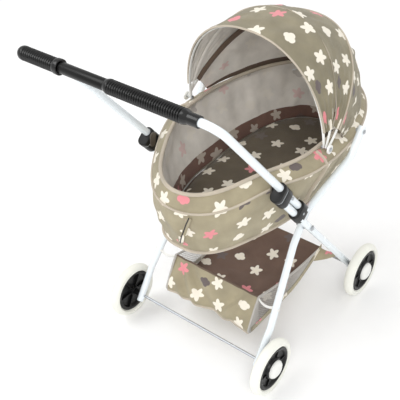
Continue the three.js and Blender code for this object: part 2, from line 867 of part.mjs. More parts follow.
function sidePanel(sign) {
  const outlineShape = new THREE.Shape();
  slingLine.forEach(([y, z], index) => {
    if (index === 0) {
      outlineShape.moveTo(y, z);
    } else {
      outlineShape.lineTo(y, z);
    }
  });
  outlineShape.closePath();
  const geometry = new THREE.ExtrudeGeometry(outlineShape, { depth: 1.6, bevelEnabled: false });
  geometry.rotateX(Math.PI / 2);
  geometry.rotateZ(Math.PI / 2);
  geometry.translate(sign * (basketHalfWidth + gap + 0.8) - 0.8, 0, 0);
  return geometry;
}

for (const { name, sign } of sides) {
  add(`basket_mesh_${name}`, sidePanel(sign), meshFabric);
  // The loop that ties the basket's back corner to the rear leg.
  const inner = basketHalfWidth + 1.6 + 2 * gap;
  const outer = rearLegFootX - tubeRadius - 4;
  const loop = new THREE.BoxGeometry(outer - inner, 2, 12);
  loop.translate((sign * (inner + outer)) / 2, -93, 128);
  add(`basket_loop_${name}`, loop, whitePlastic);
}

// ---------------------------------------------------------------- origin
// The floor point under the middle of the whole object's box.
const box = new THREE.Box3().setFromObject(stroller);
const middle = box.getCenter(new THREE.Vector3());
stroller.position.set(-middle.x, -middle.y, -box.min.z);
stroller.updateMatrixWorld(true);

export default stroller;
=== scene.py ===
"""The doll stroller's looks: every tube, wheel, grip and fabric piece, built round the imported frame.
Metres. +X is the pusher's right, +Y the way it rolls, +Z up. Places are given in the stroller's own frame,
whose X = 0 is midway between the wheels, and at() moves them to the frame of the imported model."""
import json
import math

import bmesh
import bpy
import numpy as np
from mathutils import Matrix, Vector, noise


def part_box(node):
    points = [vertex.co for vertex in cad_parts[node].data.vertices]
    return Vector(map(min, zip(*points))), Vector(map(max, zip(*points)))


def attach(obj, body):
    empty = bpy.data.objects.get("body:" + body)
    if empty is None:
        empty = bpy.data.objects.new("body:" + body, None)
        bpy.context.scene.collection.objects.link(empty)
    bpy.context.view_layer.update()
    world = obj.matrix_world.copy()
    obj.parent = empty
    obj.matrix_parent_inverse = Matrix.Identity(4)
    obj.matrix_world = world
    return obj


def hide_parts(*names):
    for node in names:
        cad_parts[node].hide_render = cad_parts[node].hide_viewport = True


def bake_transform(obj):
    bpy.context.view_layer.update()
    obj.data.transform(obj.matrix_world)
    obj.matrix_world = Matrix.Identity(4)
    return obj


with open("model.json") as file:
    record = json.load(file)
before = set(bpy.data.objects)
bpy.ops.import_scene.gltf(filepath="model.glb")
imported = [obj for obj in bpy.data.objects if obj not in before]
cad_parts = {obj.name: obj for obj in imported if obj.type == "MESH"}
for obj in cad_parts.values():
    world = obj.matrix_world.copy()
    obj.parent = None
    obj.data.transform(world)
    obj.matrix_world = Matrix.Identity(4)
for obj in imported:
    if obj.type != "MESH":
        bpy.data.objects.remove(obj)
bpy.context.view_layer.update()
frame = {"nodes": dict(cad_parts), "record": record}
SIDES = (("left", -1), ("right", 1))
ENDS = ("front", "rear")


def middle(node):
    low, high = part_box(node)
    return (low + high) / 2


wheel_places = {(end, side): middle(f"tyre_{end}_{side}") for end in ENDS for side, _ in SIDES}
rear_left, rear_right = wheel_places["rear", "left"], wheel_places["rear", "right"]
FRONT_AXLE_Y = 0.162
AXLE_Z = rear_left.z
ORIGIN = np.array([(rear_left.x + rear_right.x) / 2, wheel_places["front", "left"].y - FRONT_AXLE_Y, 0])
REAR_AXLE_Y = rear_left.y - ORIGIN[1]
CROSSING = np.array(middle("leg_pivot_left")) - ORIGIN
CROSSING[0] = 0
HINGE = np.array(middle("hood_pin_left")) - ORIGIN
HINGE[0] = 0
LEG_X = middle("front_leg_right").x - ORIGIN[0]


def at(points):
    return np.asarray(points, float) + ORIGIN


# ---------------------------------------------------------------- materials
class Graph:
    """A material's nodes, with one short call for each kind that is used here."""

    def __init__(self, name):
        self.material = bpy.data.materials.new(name)
        self.material.use_nodes = True
        self.nodes = self.material.node_tree.nodes
        self.links = self.material.node_tree.links
        self.shader = self.nodes["Principled BSDF"]

    def feed(self, socket, value):
        if isinstance(value, bpy.types.NodeSocket):
            self.links.new(value, socket)
        elif value is not None:
            socket.default_value = value

    def math(self, operation, a, b=None, c=None, clamp=False):
        node = self.nodes.new("ShaderNodeMath")
        node.operation = operation
        node.use_clamp = clamp
        for socket, value in zip(node.inputs, (a, b, c)):
            self.feed(socket, value)
        return node.outputs[0]

    def vector(self, operation, a, b=None):
        node = self.nodes.new("ShaderNodeVectorMath")
        node.operation = operation
        self.feed(node.inputs[0], a)
        self.feed(node.inputs[1], b)
        return node.outputs[0]

    def split(self, vector):
        node = self.nodes.new("ShaderNodeSeparateXYZ")
        self.feed(node.inputs[0], vector)
        return node.outputs

    def mix(self, share, a, b):
        node = self.nodes.new("ShaderNodeMix")
        node.data_type = "RGBA"
        self.feed(node.inputs["Factor"], share)
        self.feed(node.inputs["A"], a)
        self.feed(node.inputs["B"], b)
        return node.outputs["Result"]

    def noise(self, scale, detail=2.0, where=None):
        node = self.nodes.new("ShaderNodeTexNoise")
        node.inputs["Scale"].default_value = scale
        node.inputs["Detail"].default_value = detail
        self.feed(node.inputs["Vector"], where or self.object_place())
        return node.outputs["Fac"]

    def object_place(self):
        return self.nodes.new("ShaderNodeTexCoord").outputs["Object"]

    def cloth_place(self):
        node = self.nodes.new("ShaderNodeUVMap")
        node.uv_map = "cloth"
        return node.outputs[0]

    def span(self, value, low, high, to_low=0.0, to_high=1.0):
        node = self.nodes.new("ShaderNodeMapRange")
        for socket, number in zip(node.inputs, (value, low, high, to_low, to_high)):
            self.feed(socket, number)
        return node.outputs[0]

    def bump(self, height, depth, strength=1.0):
        node = self.nodes.new("ShaderNodeBump")
        node.inputs["Strength"].default_value = strength
        node.inputs["Distance"].default_value = depth
        self.feed(node.inputs["Height"], height)
        self.links.new(node.outputs[0], self.shader.inputs["Normal"])

    def surface(self, **values):
        for name, value in values.items():
            self.feed(self.shader.inputs[name.replace("_", " ")], value)
        return self.material


def rgb(red, green, blue):
    """A display colour, 0 to 255, as the linear colour that a shader takes."""
    linear = []
    for part in (red, green, blue):
        part /= 255
        linear.append(part / 12.92 if part <= 0.04045 else ((part + 0.055) / 1.055) ** 2.4)
    return (*linear, 1.0)


def moulded(name, colour, roughness, grain=900.0, depth=0.00006, variation=0.12, coat=0.0, metallic=0.0,
            shine=0.5):
    """Plastic, rubber, powder coat or metal: a fine grain, and slow changes of tone and gloss."""
    g = Graph(name)
    slow = g.noise(38.0, 3.0)
    darker = tuple(c * (1 - variation) for c in colour[:3]) + (1.0,)
    tone = g.mix(g.span(slow, 0.35, 0.7), darker, colour)
    g.bump(g.noise(grain, 2.0), depth, 0.6)
    gloss = g.span(slow, 0.3, 0.7, roughness * 0.85, min(1.0, roughness * 1.2))
    return g.surface(Base_Color=tone, Roughness=gloss, Coat_Weight=coat, Metallic=metallic,
                     Specular_IOR_Level=shine)


CREAM, PINK, DARK = rgb(240, 233, 218), rgb(226, 142, 148), rgb(104, 94, 92)
PRINT_CELL = 0.051


def star_mask(g, x, y, turn, size):
    """1 inside a five-pointed star, 0 outside."""
    angle = g.math("ADD", g.math("ARCTAN2", y, x), turn)
    share = g.math("FRACT", g.math("MULTIPLY", angle, 5 / (2 * math.pi)))
    point = g.math("MULTIPLY", g.math("ABSOLUTE", g.math("SUBTRACT", share, 0.5)), 2.0)
    edge = g.math("MULTIPLY_ADD", g.math("POWER", point, 1.1), size * 0.58, size * 0.48)
    edge = g.math("MINIMUM", edge, size * 0.95)
    reach = g.math("SQRT", g.math("ADD", g.math("MULTIPLY", x, x), g.math("MULTIPLY", y, y)))
    return g.span(g.math("SUBTRACT", edge, reach), -0.006, 0.006)


def cloud_mask(g, x, y, size):
    """1 inside four overlapping discs."""
    mask = None
    for dx, dy, radius in ((-0.62, -0.15, 0.55), (0.0, 0.3, 0.66), (0.62, -0.1, 0.5), (0.0, -0.3, 0.6)):
        away_x = g.math("SUBTRACT", x, dx * size)
        away_y = g.math("SUBTRACT", y, dy * size)
        reach = g.math("SQRT", g.math("ADD", g.math("MULTIPLY", away_x, away_x),
                                      g.math("MULTIPLY", away_y, away_y)))
        disc = g.span(g.math("SUBTRACT", radius * size, reach), -0.006, 0.006)
        mask = disc if mask is None else g.math("MAXIMUM", mask, disc)
    return mask


def printed(g, ground, where, strength=1.0, cell=PRINT_CELL):
    """Scattered stars and clouds in cream, pink and dark grey over a ground colour."""
    place = g.vector("SCALE", where)
    place.node.inputs["Scale"].default_value = 1 / cell
    cells = g.nodes.new("ShaderNodeTexVoronoi")
    cells.voronoi_dimensions = "2D"
    cells.inputs["Scale"].default_value = 1.0
    cells.inputs["Randomness"].default_value = 0.55
    g.feed(cells.inputs["Vector"], place)
    x, y, _ = g.split(g.vector("SUBTRACT", place, cells.outputs["Position"]))
    pick, kind, turn = g.split(cells.outputs["Color"])
    star = star_mask(g, x, y, g.math("MULTIPLY", turn, 2 * math.pi), 0.27)
    cloud = cloud_mask(g, x, y, 0.2)
    is_cloud = g.math("GREATER_THAN", kind, 0.76)
    mask = g.math("ADD", g.math("MULTIPLY", star, g.math("SUBTRACT", 1.0, is_cloud)),
                  g.math("MULTIPLY", cloud, is_cloud))
    ink = g.mix(g.math("GREATER_THAN", pick, 0.74), CREAM, PINK)
    ink = g.mix(g.math("GREATER_THAN", pick, 0.9), ink, DARK)
    return g.mix(g.math("MULTIPLY", mask, strength), ground, ink)


def cloth(name, colour, prints=0.0, variation=0.2, roughness=0.9, flat_place=False, sheen=0.15):
    """Woven cloth: crossed threads, slow patches of tone, and a print if prints is above 0."""
    g = Graph(name)
    where = g.object_place() if flat_place else g.cloth_place()
    x, y, _ = g.split(where)
    thread = 0.0009
    warp = g.math("SINE", g.math("MULTIPLY", x, 2 * math.pi / thread))
    weft = g.math("SINE", g.math("MULTIPLY", y, 2 * math.pi / thread))
    weave = g.math("MULTIPLY", warp, weft)
    patches = g.noise(24.0, 4.0)
    darker = tuple(c * (1 - variation) for c in colour[:3]) + (1.0,)
    lighter = tuple(min(1.0, c * (1 + variation * 0.6)) for c in colour[:3]) + (1.0,)
    ground = g.mix(g.span(patches, 0.3, 0.7), darker, lighter)
    ground = g.mix(g.span(weave, -1.0, 1.0, 0.0, 0.12), ground, lighter)
    if prints:
        ground = printed(g, ground, where, prints)
    creases = g.math("MULTIPLY", g.noise(55.0, 3.0), 6.0)
    g.bump(g.math("ADD", g.math("MULTIPLY", weave, 0.35), creases), 0.0004, 0.55)
    return g.surface(Base_Color=ground, Roughness=roughness, Sheen_Weight=sheen, Sheen_Roughness=0.5)


WHITE_STEEL = moulded("white_powder_coat", rgb(236, 243, 247), 0.24, 600.0, 0.000008, 0.03, 0.25)
# Zinc for the screws; also the light seam ring on the upper clamps, which is a painted highlight.
ZINC_AND_HIGHLIGHT = moulded("zinc_plate_and_painted_highlight", rgb(190, 194, 198), 0.3, 1200.0, 0.00003, 0.15, 0.0, 1.0)
BLACK = moulded("black_moulding", rgb(16, 16, 16), 0.36, 1100.0, 0.00004, 0.25, shine=0.35)
FOAM = moulded("black_foam", rgb(9, 9, 9), 0.22, 2200.0, 0.00004, 0.3, shine=0.55)
SLEEVE = moulded("black_sleeve", rgb(10, 10, 10), 0.3, 900.0, 0.00003, 0.2, shine=0.3)
TYRE = moulded("white_tyre", rgb(241, 241, 232), 0.55, 700.0, 0.00006, 0.05)
WHITE_PLASTIC = moulded("white_moulding", rgb(240, 240, 236), 0.32, 800.0, 0.00003, 0.04)
BRACKET = moulded("bracket_moulding", rgb(84, 76, 66), 0.5, 900.0, 0.00005, 0.15)
TOOTH = moulded("zip_teeth", rgb(45, 40, 36), 0.5, 900.0, 0.00005, 0.2)
WALL_CLOTH = cloth("wall_cloth", rgb(163, 153, 127), 1.0)
HOOD_CLOTH = cloth("hood_cloth", rgb(139, 131, 108), 1.0)
LINING = cloth("lining_cloth", rgb(232, 227, 219), 0.32, 0.16)
BAND = cloth("floor_band_cloth", rgb(122, 92, 80), 0.5)
# Painted shade: the floor's brown print is a darker copy of the floor band's, for the floor lying in shade.
FLOOR_IN_SHADE = cloth("floor_cloth_painted_shade", rgb(92, 82, 66), 0.85, flat_place=True)
SLING_IN = cloth("basket_brown_cloth", rgb(106, 84, 72), 0.9)
PIPING = cloth("piping_cloth", rgb(190, 179, 162), 0.0, 0.1)
# Dark brown trim for hems, the rear rib's sleeve and the bassinet's bottom; inside the hood's back it is also
# painted shade.
HEM_AND_SHADE = cloth("hem_and_painted_shade_cloth", rgb(104, 86, 72), 0.0, 0.12)
NET = cloth("net_cloth", rgb(184, 180, 174), 0.0, 0.1)
WEBBING = cloth("webbing_cloth", rgb(236, 235, 230), 0.0, 0.06)


# ---------------------------------------------------------------- mesh making
BOX_FACES = ((0, 1, 2, 3), (4, 5, 6, 7), (0, 1, 5, 4), (1, 2, 6, 5), (2, 3, 7, 6), (3, 0, 4, 7))


def add(name, data):
    obj = bpy.data.objects.new(name, data)
    bpy.context.scene.collection.objects.link(obj)
    return obj


def smoothed(path, passes):
    for _ in range(passes):
        path[1:-1] = (path[:-2] + 2 * path[1:-1] + path[2:]) / 4
    return path


def piece(name, verts, faces, materials, corner_uvs=None, indices=None, sharp=40):
    mesh = bpy.data.meshes.new(name)
    mesh.from_pydata([tuple(v) for v in verts], [], [tuple(f) for f in faces])
    if corner_uvs is not None:
        layer = mesh.uv_layers.new(name="cloth")
        flat = [value for face in corner_uvs for uv in face for value in uv]
        layer.data.foreach_set("uv", flat)
    for material in materials:
        mesh.materials.append(material)
    if indices is not None:
        mesh.polygons.foreach_set("material_index", indices)
    work = bmesh.new()
    work.from_mesh(mesh)
    bmesh.ops.recalc_face_normals(work, faces=work.faces)
    work.to_mesh(mesh)
    work.free()
    mesh.polygons.foreach_set("use_smooth", [True] * len(mesh.polygons))
    mesh.set_sharp_from_angle(angle=math.radians(sharp))
    return add(name, mesh)


def settle(obj, body, replaced=()):
    """The calls that nearly every piece ends with."""
    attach(obj, body)
    if replaced:
        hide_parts(*replaced)
    return obj


def bake_modifiers(obj):
    bpy.context.view_layer.update()
    evaluated = obj.evaluated_get(bpy.context.evaluated_depsgraph_get())
    mesh = bpy.data.meshes.new_from_object(evaluated)
    obj.modifiers.clear()
    obj.data = mesh
    return obj


def sweep(name, points, radius, material, up=(1, 0, 0), around=24, closed=False, flat=1.0, domed=True):
    """A tube along points. radius may be a list; flat squeezes the section across up."""
    path = at(points)
    count = len(path)
    if closed:
        tangent = np.roll(path, -1, 0) - np.roll(path, 1, 0)
    else:
        tangent = np.gradient(path, axis=0)
    tangent /= np.linalg.norm(tangent, axis=1)[:, None]
    radii = np.broadcast_to(np.asarray(radius, float), (count,)).copy()
    if domed and not closed:
        first, last = path[0] - tangent[0] * radii[0] * 0.12, path[-1] + tangent[-1] * radii[-1] * 0.12
        path = np.vstack([first, path, last])
        tangent = np.vstack([tangent[:1], tangent, tangent[-1:]])
        radii = np.concatenate([[radii[0] * 0.82], radii, [radii[-1] * 0.82]])
        count += 2
    across = np.cross(tangent, np.asarray(up, float))
    across /= np.linalg.norm(across, axis=1)[:, None]
    wide = np.cross(across, tangent)
    angles = np.linspace(0, 2 * math.pi, around, endpoint=False)
    verts = []
    for i in range(count):
        ring = np.outer(np.cos(angles), wide[i]) + np.outer(np.sin(angles) * flat, across[i])
        verts.extend(path[i] + ring * radii[i])
    steps = np.concatenate([[0], np.cumsum(np.linalg.norm(np.diff(path, axis=0), axis=1))])
    girth = 2 * math.pi * float(radii.mean())
    faces, uvs = [], []
    for i in range(count if closed else count - 1):
        k = (i + 1) % count
        low = steps[i]
        high = steps[k] if k else steps[i] + np.linalg.norm(path[0] - path[-1])
        for j in range(around):
            m = (j + 1) % around
            faces.append((i * around + j, k * around + j, k * around + m, i * around + m))
            u0, u1 = girth * j / around, girth * (j + 1) / around
            uvs.append(((u0, low), (u0, high), (u1, high), (u1, low)))
    if not closed:
        for i in (0, count - 1):
            faces.append(tuple(range(i * around, (i + 1) * around)))
            uvs.append(((0, 0),) * around)
    return piece(name, verts, faces, [material], uvs)


def fillet(profile, radius, steps=3):
    """A polyline whose inner corners are rounded, each by no more than its sides allow."""
    points = [np.array(p, float) for p in profile]
    out = [points[0]]
    for before, here, after in zip(points, points[1:], points[2:]):
        back, ahead = before - here, after - here
        reach = min(radius, 0.45 * np.linalg.norm(back), 0.45 * np.linalg.norm(ahead))
        start = here + back / np.linalg.norm(back) * reach
        end = here + ahead / np.linalg.norm(ahead) * reach
        for k in range(steps + 1):
            t = k / steps
            out.append((1 - t) ** 2 * start + 2 * t * (1 - t) * here + t * t * end)
    out.append(points[-1])
    return out


def lathe(name, profile, place, material, sign=1, around=64, soft=0.0008):
    """A turned piece on an X axis through place. Profile points are (radius, distance along X)."""
    outline = fillet(profile, soft)
    angles = np.linspace(0, 2 * math.pi, around, endpoint=False)
    verts, rings = [], []
    for radius, along in outline:
        if radius < 1e-6:
            rings.append([len(verts)])
            verts.append(np.array([sign * along, 0, 0]) + place)
            continue
        rings.append(list(range(len(verts), len(verts) + around)))
        for a in angles:
            verts.append(np.array([sign * along, radius * math.cos(a), radius * math.sin(a)]) + place)
    faces = []
    for low, high in zip(rings, rings[1:]):
        for j in range(around):
            m = (j + 1) % around
            corners = [low[j % len(low)], low[m % len(low)], high[m % len(high)], high[j % len(high)]]
            kept = list(dict.fromkeys(corners))
            if len(kept) > 2:
                faces.append(kept)
    obj = piece(name, verts, faces, [material])
    merge(obj)
    return obj


def merge(obj, distance=1e-6):
    work = bmesh.new()
    work.from_mesh(obj.data)
    bmesh.ops.remove_doubles(work, verts=work.verts, dist=distance)
    bmesh.ops.recalc_face_normals(work, faces=work.faces)
    work.to_mesh(obj.data)
    work.free()


def shell(name, grid, thickness, materials, closed=False, picks=None):
    """A sheet with two faces. grid is rows x columns x 3; the back lies thickness behind the front, on the
    side away from cross(row step, column step). picks(i, j, front) gives a quad's material."""
    front = at(grid)
    rows, columns, _ = front.shape
    down = np.gradient(front, axis=0)
    if closed:
        along = np.roll(front, -1, 1) - np.roll(front, 1, 1)
    else:
        along = np.gradient(front, axis=1)
    normal = np.cross(down, along)
    normal /= np.maximum(np.linalg.norm(normal, axis=2), 1e-12)[:, :, None]
    back = front - normal * thickness
    verts = np.concatenate([front.reshape(-1, 3), back.reshape(-1, 3)])
    v_run = np.concatenate([[0], np.cumsum(np.linalg.norm(np.diff(front, axis=0), axis=2).mean(1))])
    steps = np.linalg.norm(np.diff(front, axis=1), axis=2).mean(0)
    u_run = np.concatenate([[0], np.cumsum(steps)])
    if closed:
        u_run = np.append(u_run, u_run[-1] + steps.mean())
    faces, uvs, indices = [], [], []
    half = rows * columns

    def quad(corners, spots, index):
        faces.append(corners)
        uvs.append([(u_run[j], v_run[i]) for i, j in spots])
        indices.append(index)

    last = columns if closed else columns - 1
    for i in range(rows - 1):
        for j in range(last):
            k = (j + 1) % columns
            a, b, c, d = i * columns + j, (i + 1) * columns + j, (i + 1) * columns + k, i * columns + k
            spots = [(i, j), (i + 1, j), (i + 1, j + 1), (i, j + 1)]
            quad((a, b, c, d), spots, picks(i, j, True) if picks else 0)
            quad((half + d, half + c, half + b, half + a), spots[::-1], picks(i, j, False) if picks else 1)
    edge = min(2, len(materials) - 1)
    for i in (0, rows - 1):
        for j in range(last):
            k = (j + 1) % columns
            a, d = i * columns + j, i * columns + k
            quad((a, d, half + d, half + a), [(i, j), (i, j + 1), (i, j + 1), (i, j)], edge)
    if not closed:
        for j in (0, columns - 1):
            for i in range(rows - 1):
                a, b = i * columns + j, (i + 1) * columns + j
                quad((a, b, half + b, half + a), [(i, j), (i + 1, j), (i + 1, j), (i, j)], edge)
    return piece(name, verts, faces, materials, uvs, indices, sharp=60)


def rounded(corners, bend, steps=12):
    """Straight runs between corners, each inner corner turned on a bend of that radius."""
    points = [np.array(c, float) for c in corners]
    out = [points[0]]
    for before, here, after in zip(points, points[1:], points[2:]):
        back = (before - here) / np.linalg.norm(before - here)
        ahead = (after - here) / np.linalg.norm(after - here)
        turn = math.pi - math.acos(float(np.clip(back @ ahead, -1, 1)))
        reach = bend * math.tan(turn / 2)
        centre = here + (back + ahead) / np.linalg.norm(back + ahead) * bend / math.cos(turn / 2)
        first, last = here + back * reach - centre, here + ahead * reach - centre
        for k in range(steps + 1):
            t = k / steps
            mixed = math.sin((1 - t) * turn) * first + math.sin(t * turn) * last
            out.append(centre + mixed / math.sin(turn))
    out.append(points[-1])
    return out


def dense(points, step=0.012):
    """The same line with no step longer than step."""
    out = [points[0]]
    for a, b in zip(points, points[1:]):
        count = max(1, int(np.ceil(np.linalg.norm(np.asarray(b) - a) / step)))
        out.extend(a + (b - a) * k / count for k in range(1, count + 1))
    return np.array(out)


# ---------------------------------------------------------------- legs and handle
TUBE = 0.0065
HANDLE_RISE = 0.0144
LOW_CLAMP, UPPER_CLAMP = 0.326, 0.4026
BAR_LEFT_END = -0.238
HANDLE_START, HANDLE_CORNER, HANDLE_BEND = 0.318, 0.662, 0.028
WAIST_X, REAR_TOP_X = 0.1244, 0.166
FRONT_AXLE = np.array([0, FRONT_AXLE_Y, AXLE_Z])
REAR_AXLE = np.array([0, REAR_AXLE_Y, AXLE_Z])
FRONT_REACH = np.linalg.norm(CROSSING - FRONT_AXLE)
REAR_REACH = np.linalg.norm(CROSSING - REAR_AXLE)
FRONT_WAY = (CROSSING - FRONT_AXLE) / FRONT_REACH
REAR_WAY = (CROSSING - REAR_AXLE) / REAR_REACH
FRONT_UP = np.array([0, FRONT_WAY[2], -FRONT_WAY[1]])


def on_front(x, along, rise=0.0):
    return FRONT_AXLE + np.array([x, 0, 0]) + FRONT_WAY * along + FRONT_UP * rise


def on_rear(x, along):
    return REAR_AXLE + np.array([x, 0, 0]) + REAR_WAY * along


def rear_leg_line(sign):
    corners = [
        on_rear(sign * LEG_X, -0.012),
        on_rear(sign * LEG_X, 0.060),
        on_rear(sign * WAIST_X, REAR_REACH - 0.040),
        on_rear(sign * WAIST_X, REAR_REACH + 0.026),
        on_rear(sign * REAR_TOP_X, REAR_REACH + 0.138),
        on_rear(sign * REAR_TOP_X, 0.446),
    ]
    return dense(rounded(corners, 0.06))


def legs():
    for side, sign in SIDES:
        front = dense([on_front(sign * LEG_X, -0.012), on_front(sign * LEG_X, 0.42)], 0.03)
        leg = sweep(f"front_leg_tube_{side}", front, TUBE, WHITE_STEEL, around=32)
        settle(leg, "front_frame", [f"front_leg_{side}"])
        leg = sweep(f"rear_leg_tube_{side}", rear_leg_line(sign), TUBE, WHITE_STEEL, around=32)
        settle(leg, "rear_frame", [f"rear_leg_{side}"])


def handle():
    corner = on_front(0, HANDLE_CORNER, HANDLE_RISE)
    corners = [on_front(LEG_X, HANDLE_START, HANDLE_RISE), corner + [LEG_X, 0, 0],
               corner + [BAR_LEFT_END, 0, 0]]
    tilt = (0, FRONT_UP[1], FRONT_UP[2])
    tube = sweep("push_tube", dense(rounded(corners, HANDLE_BEND, 16)), TUBE, WHITE_STEEL, tilt, 32)
    settle(tube, "handle", ["handle_tube"])
    arm = dense([on_front(-LEG_X, HANDLE_START, HANDLE_RISE), on_front(-LEG_X, 0.653, HANDLE_RISE)], 0.03)
    settle(sweep("push_arm_left", arm, TUBE, WHITE_STEEL, around=32), "handle",
           ["handle_arm_left"])
    bore = TUBE + 0.0003
    centre = at(corner)

    def ribbed(start, end, radius, pitch=0.0044, depth=0.0028):
        count = int((end - start) / pitch)
        points = []
        for k in range(count * 6 + 1):
            along = start + (end - start) * k / (count * 6)
            points.append((radius - depth * (0.5 - 0.5 * math.cos(2 * math.pi * k / 6)), along))
        return points

    sleeve = [(bore, -0.1597), (0.0094, -0.1597), (0.0094, -0.0663), (bore, -0.0663), (bore, -0.1597)]
    settle(lathe("smooth_sleeve", sleeve, centre, SLEEVE), "handle", ["bar_sleeve"])
    right = [(bore, -0.066), (0.010, -0.066), (0.0117, -0.061), *ribbed(-0.058, 0.080, 0.012),
             (0.0112, 0.084), (0.0092, 0.090), (0.0090, 0.108), (bore, 0.108), (bore, -0.066)]
    settle(lathe("foam_grip_right", right, centre, FOAM, soft=0.0004), "handle", ["grip_right"])
    dome = [(0.012 * math.sin(a), -0.242 - 0.012 * math.cos(a)) for a in np.linspace(0, math.pi / 2, 9)]
    left = [*dome, *ribbed(-0.2396, -0.171, 0.012), (0.013, -0.168), (0.013, -0.161), (0.0118, -0.1603),
            (bore, -0.1603), (bore, -0.2385), (0, -0.2385)]
    settle(lathe("foam_grip_left", left, centre, FOAM, soft=0.0004), "handle", ["grip_left"])


def stadium(name, x, along, half, wrap, material, bevel):
    """A rounded block across the leg and the handle's tube, half long each way from along."""
    outline = []
    for first, rise in ((math.pi, 0.0), (0, HANDLE_RISE)):
        for k in range(17):
            a = first + math.pi * k / 16
            outline.append((wrap * math.cos(a), rise + wrap * math.sin(a)))
    count = len(outline)
    verts = [at(on_front(x + dx, along + end, rise)) for end in (-half, half) for dx, rise in outline]
    faces = [(j, (j + 1) % count, count + (j + 1) % count, count + j) for j in range(count)]
    faces += [tuple(range(count)), tuple(range(count, 2 * count))]
    obj = piece(name, verts, faces, [material])
    modifier = obj.modifiers.new("edge", "BEVEL")
    modifier.width = bevel
    modifier.segments = 3
    modifier.limit_method = "ANGLE"
    modifier.angle_limit = math.radians(50)
    bake_modifiers(obj)
    obj.data.set_sharp_from_angle(angle=math.radians(50))
    return obj


def bored(block, x):
    """Cuts the handle's way through a clamp's block, so that the tube can slide on below it."""
    ends = [on_front(x, LOW_CLAMP + reach, HANDLE_RISE) for reach in (-0.03, 0.03)]
    cutter = sweep("clamp_bore", dense(ends, 0.01), TUBE + 0.0004, BLACK, around=48)
    modifier = block.modifiers.new("bore", "BOOLEAN")
    modifier.operation = "DIFFERENCE"
    modifier.object = cutter
    bake_modifiers(block)
    bpy.data.objects.remove(cutter)
    block.data.set_sharp_from_angle(angle=math.radians(50))
    return block


def clamps():
    wrap = TUBE + 0.0036
    for side, sign in SIDES:
        x = sign * LEG_X
        for name, along, half, extra, bevel, material, slot, nodes in (
            ("ring", UPPER_CLAMP, 0.0108, 0.0, 0.002, BLACK, "black_plastic", [f"upper_clamp_{side}"]),
            # The seam ring is light zinc in a shallow groove of the black clamp: a painted highlight along
            # the clamp's step edge.
            ("seam", 0.4142, 0.0006, -0.0003, 0.0002, ZINC_AND_HIGHLIGHT, "zinc", ()),
            ("cap", 0.4206, 0.0056, 0.0004, 0.002, BLACK, "black_plastic", ()),
            ("block", LOW_CLAMP, 0.0148, 0.0004, 0.0036, BLACK, "black_plastic", [f"lower_clamp_{side}"]),
        ):
            obj = stadium(f"clamp_{name}_{side}", x, along, half, wrap + extra, material, bevel)
            if name == "block":
                bored(obj, x)
            settle(obj, "front_frame", nodes)
        for number, rise in enumerate((HANDLE_RISE + 0.003, -0.003)):
            window = box_piece(f"clamp_window_{side}_{number}", x + sign * wrap * 0.93,
                               (0.0012, 0.0026, 0.0032), WHITE_STEEL, 0.317, rise)
            settle(window, "front_frame")
        head = [(0, 0.0012), (0.0014, 0.0012), (0.0024, 0.0004), (0.0024, -0.001), (0, -0.001)]
        spot = at(on_front(x + sign * (wrap + 0.0002), LOW_CLAMP, HANDLE_RISE / 2))
        screw = lathe(f"clamp_screw_{side}", head, spot, ZINC_AND_HIGHLIGHT, sign, 20)
        settle(screw, "front_frame")


def box_piece(name, x, half, material, along, rise, bevel=0.0005):
    """A small block set square to the leg, at a place along it."""
    verts = []
    for end in (-1, 1):
        for dx, dr in ((-1, -1), (1, -1), (1, 1), (-1, 1)):
            spot = on_front(x + dx * half[0], along + end * half[2], rise + dr * half[1])
            verts.append(at(spot))
    obj = piece(name, verts, BOX_FACES, [material])
    modifier = obj.modifiers.new("edge", "BEVEL")
    modifier.width = bevel
    modifier.segments = 2
    return bake_modifiers(obj)


# ---------------------------------------------------------------- wheels
def wheels():
    for (end, side), place in wheel_places.items():
        sign = 1 if side == "right" else -1
        body = f"wheel_{end}_{side}"
        section = [(0.0423, -0.0065)]
        for a in np.linspace(-math.pi / 2, math.pi / 2, 19):
            section.append((0.0452 + 0.0098 * math.cos(a) ** 0.9, 0.0098 * math.sin(a)))
        section += [(0.0423, 0.0065), (0.0423, -0.0065)]
        tyre = lathe(f"tyre_ring_{end}_{side}", section, place, TYRE, sign, 96)
        settle(tyre, body, [f"tyre_{end}_{side}"])
        disc = [(0.0028, -0.009), (0.0095, -0.009), (0.0095, -0.0015), (0.034, -0.0015), (0.036, -0.0065),
                (0.042, -0.0065), (0.042, 0.0075), (0.0395, 0.0085), (0.036, 0.0080), (0.034, 0.0035),
                (0.0215, 0.0035), (0.020, 0.0082), (0.0028, 0.0082), (0.0028, -0.009)]
        hub = lathe(f"wheel_hub_{end}_{side}", disc, place, BLACK, sign, 72)
        add_hub_detail(hub, place, sign)
        settle(hub, body, [f"hub_{end}_{side}"])
        dome = [(0.0, 0.0178), (0.006, 0.0176), (0.0115, 0.0166), (0.0155, 0.0146), (0.0175, 0.0118),
                (0.018, 0.0086), (0.0028, 0.0086), (0.0028, 0.013), (0.0, 0.013)]
        cap = lathe(f"wheel_cap_{end}_{side}", dome, place, WHITE_PLASTIC, sign, 48)
        settle(cap, body, [f"cap_{end}_{side}"])


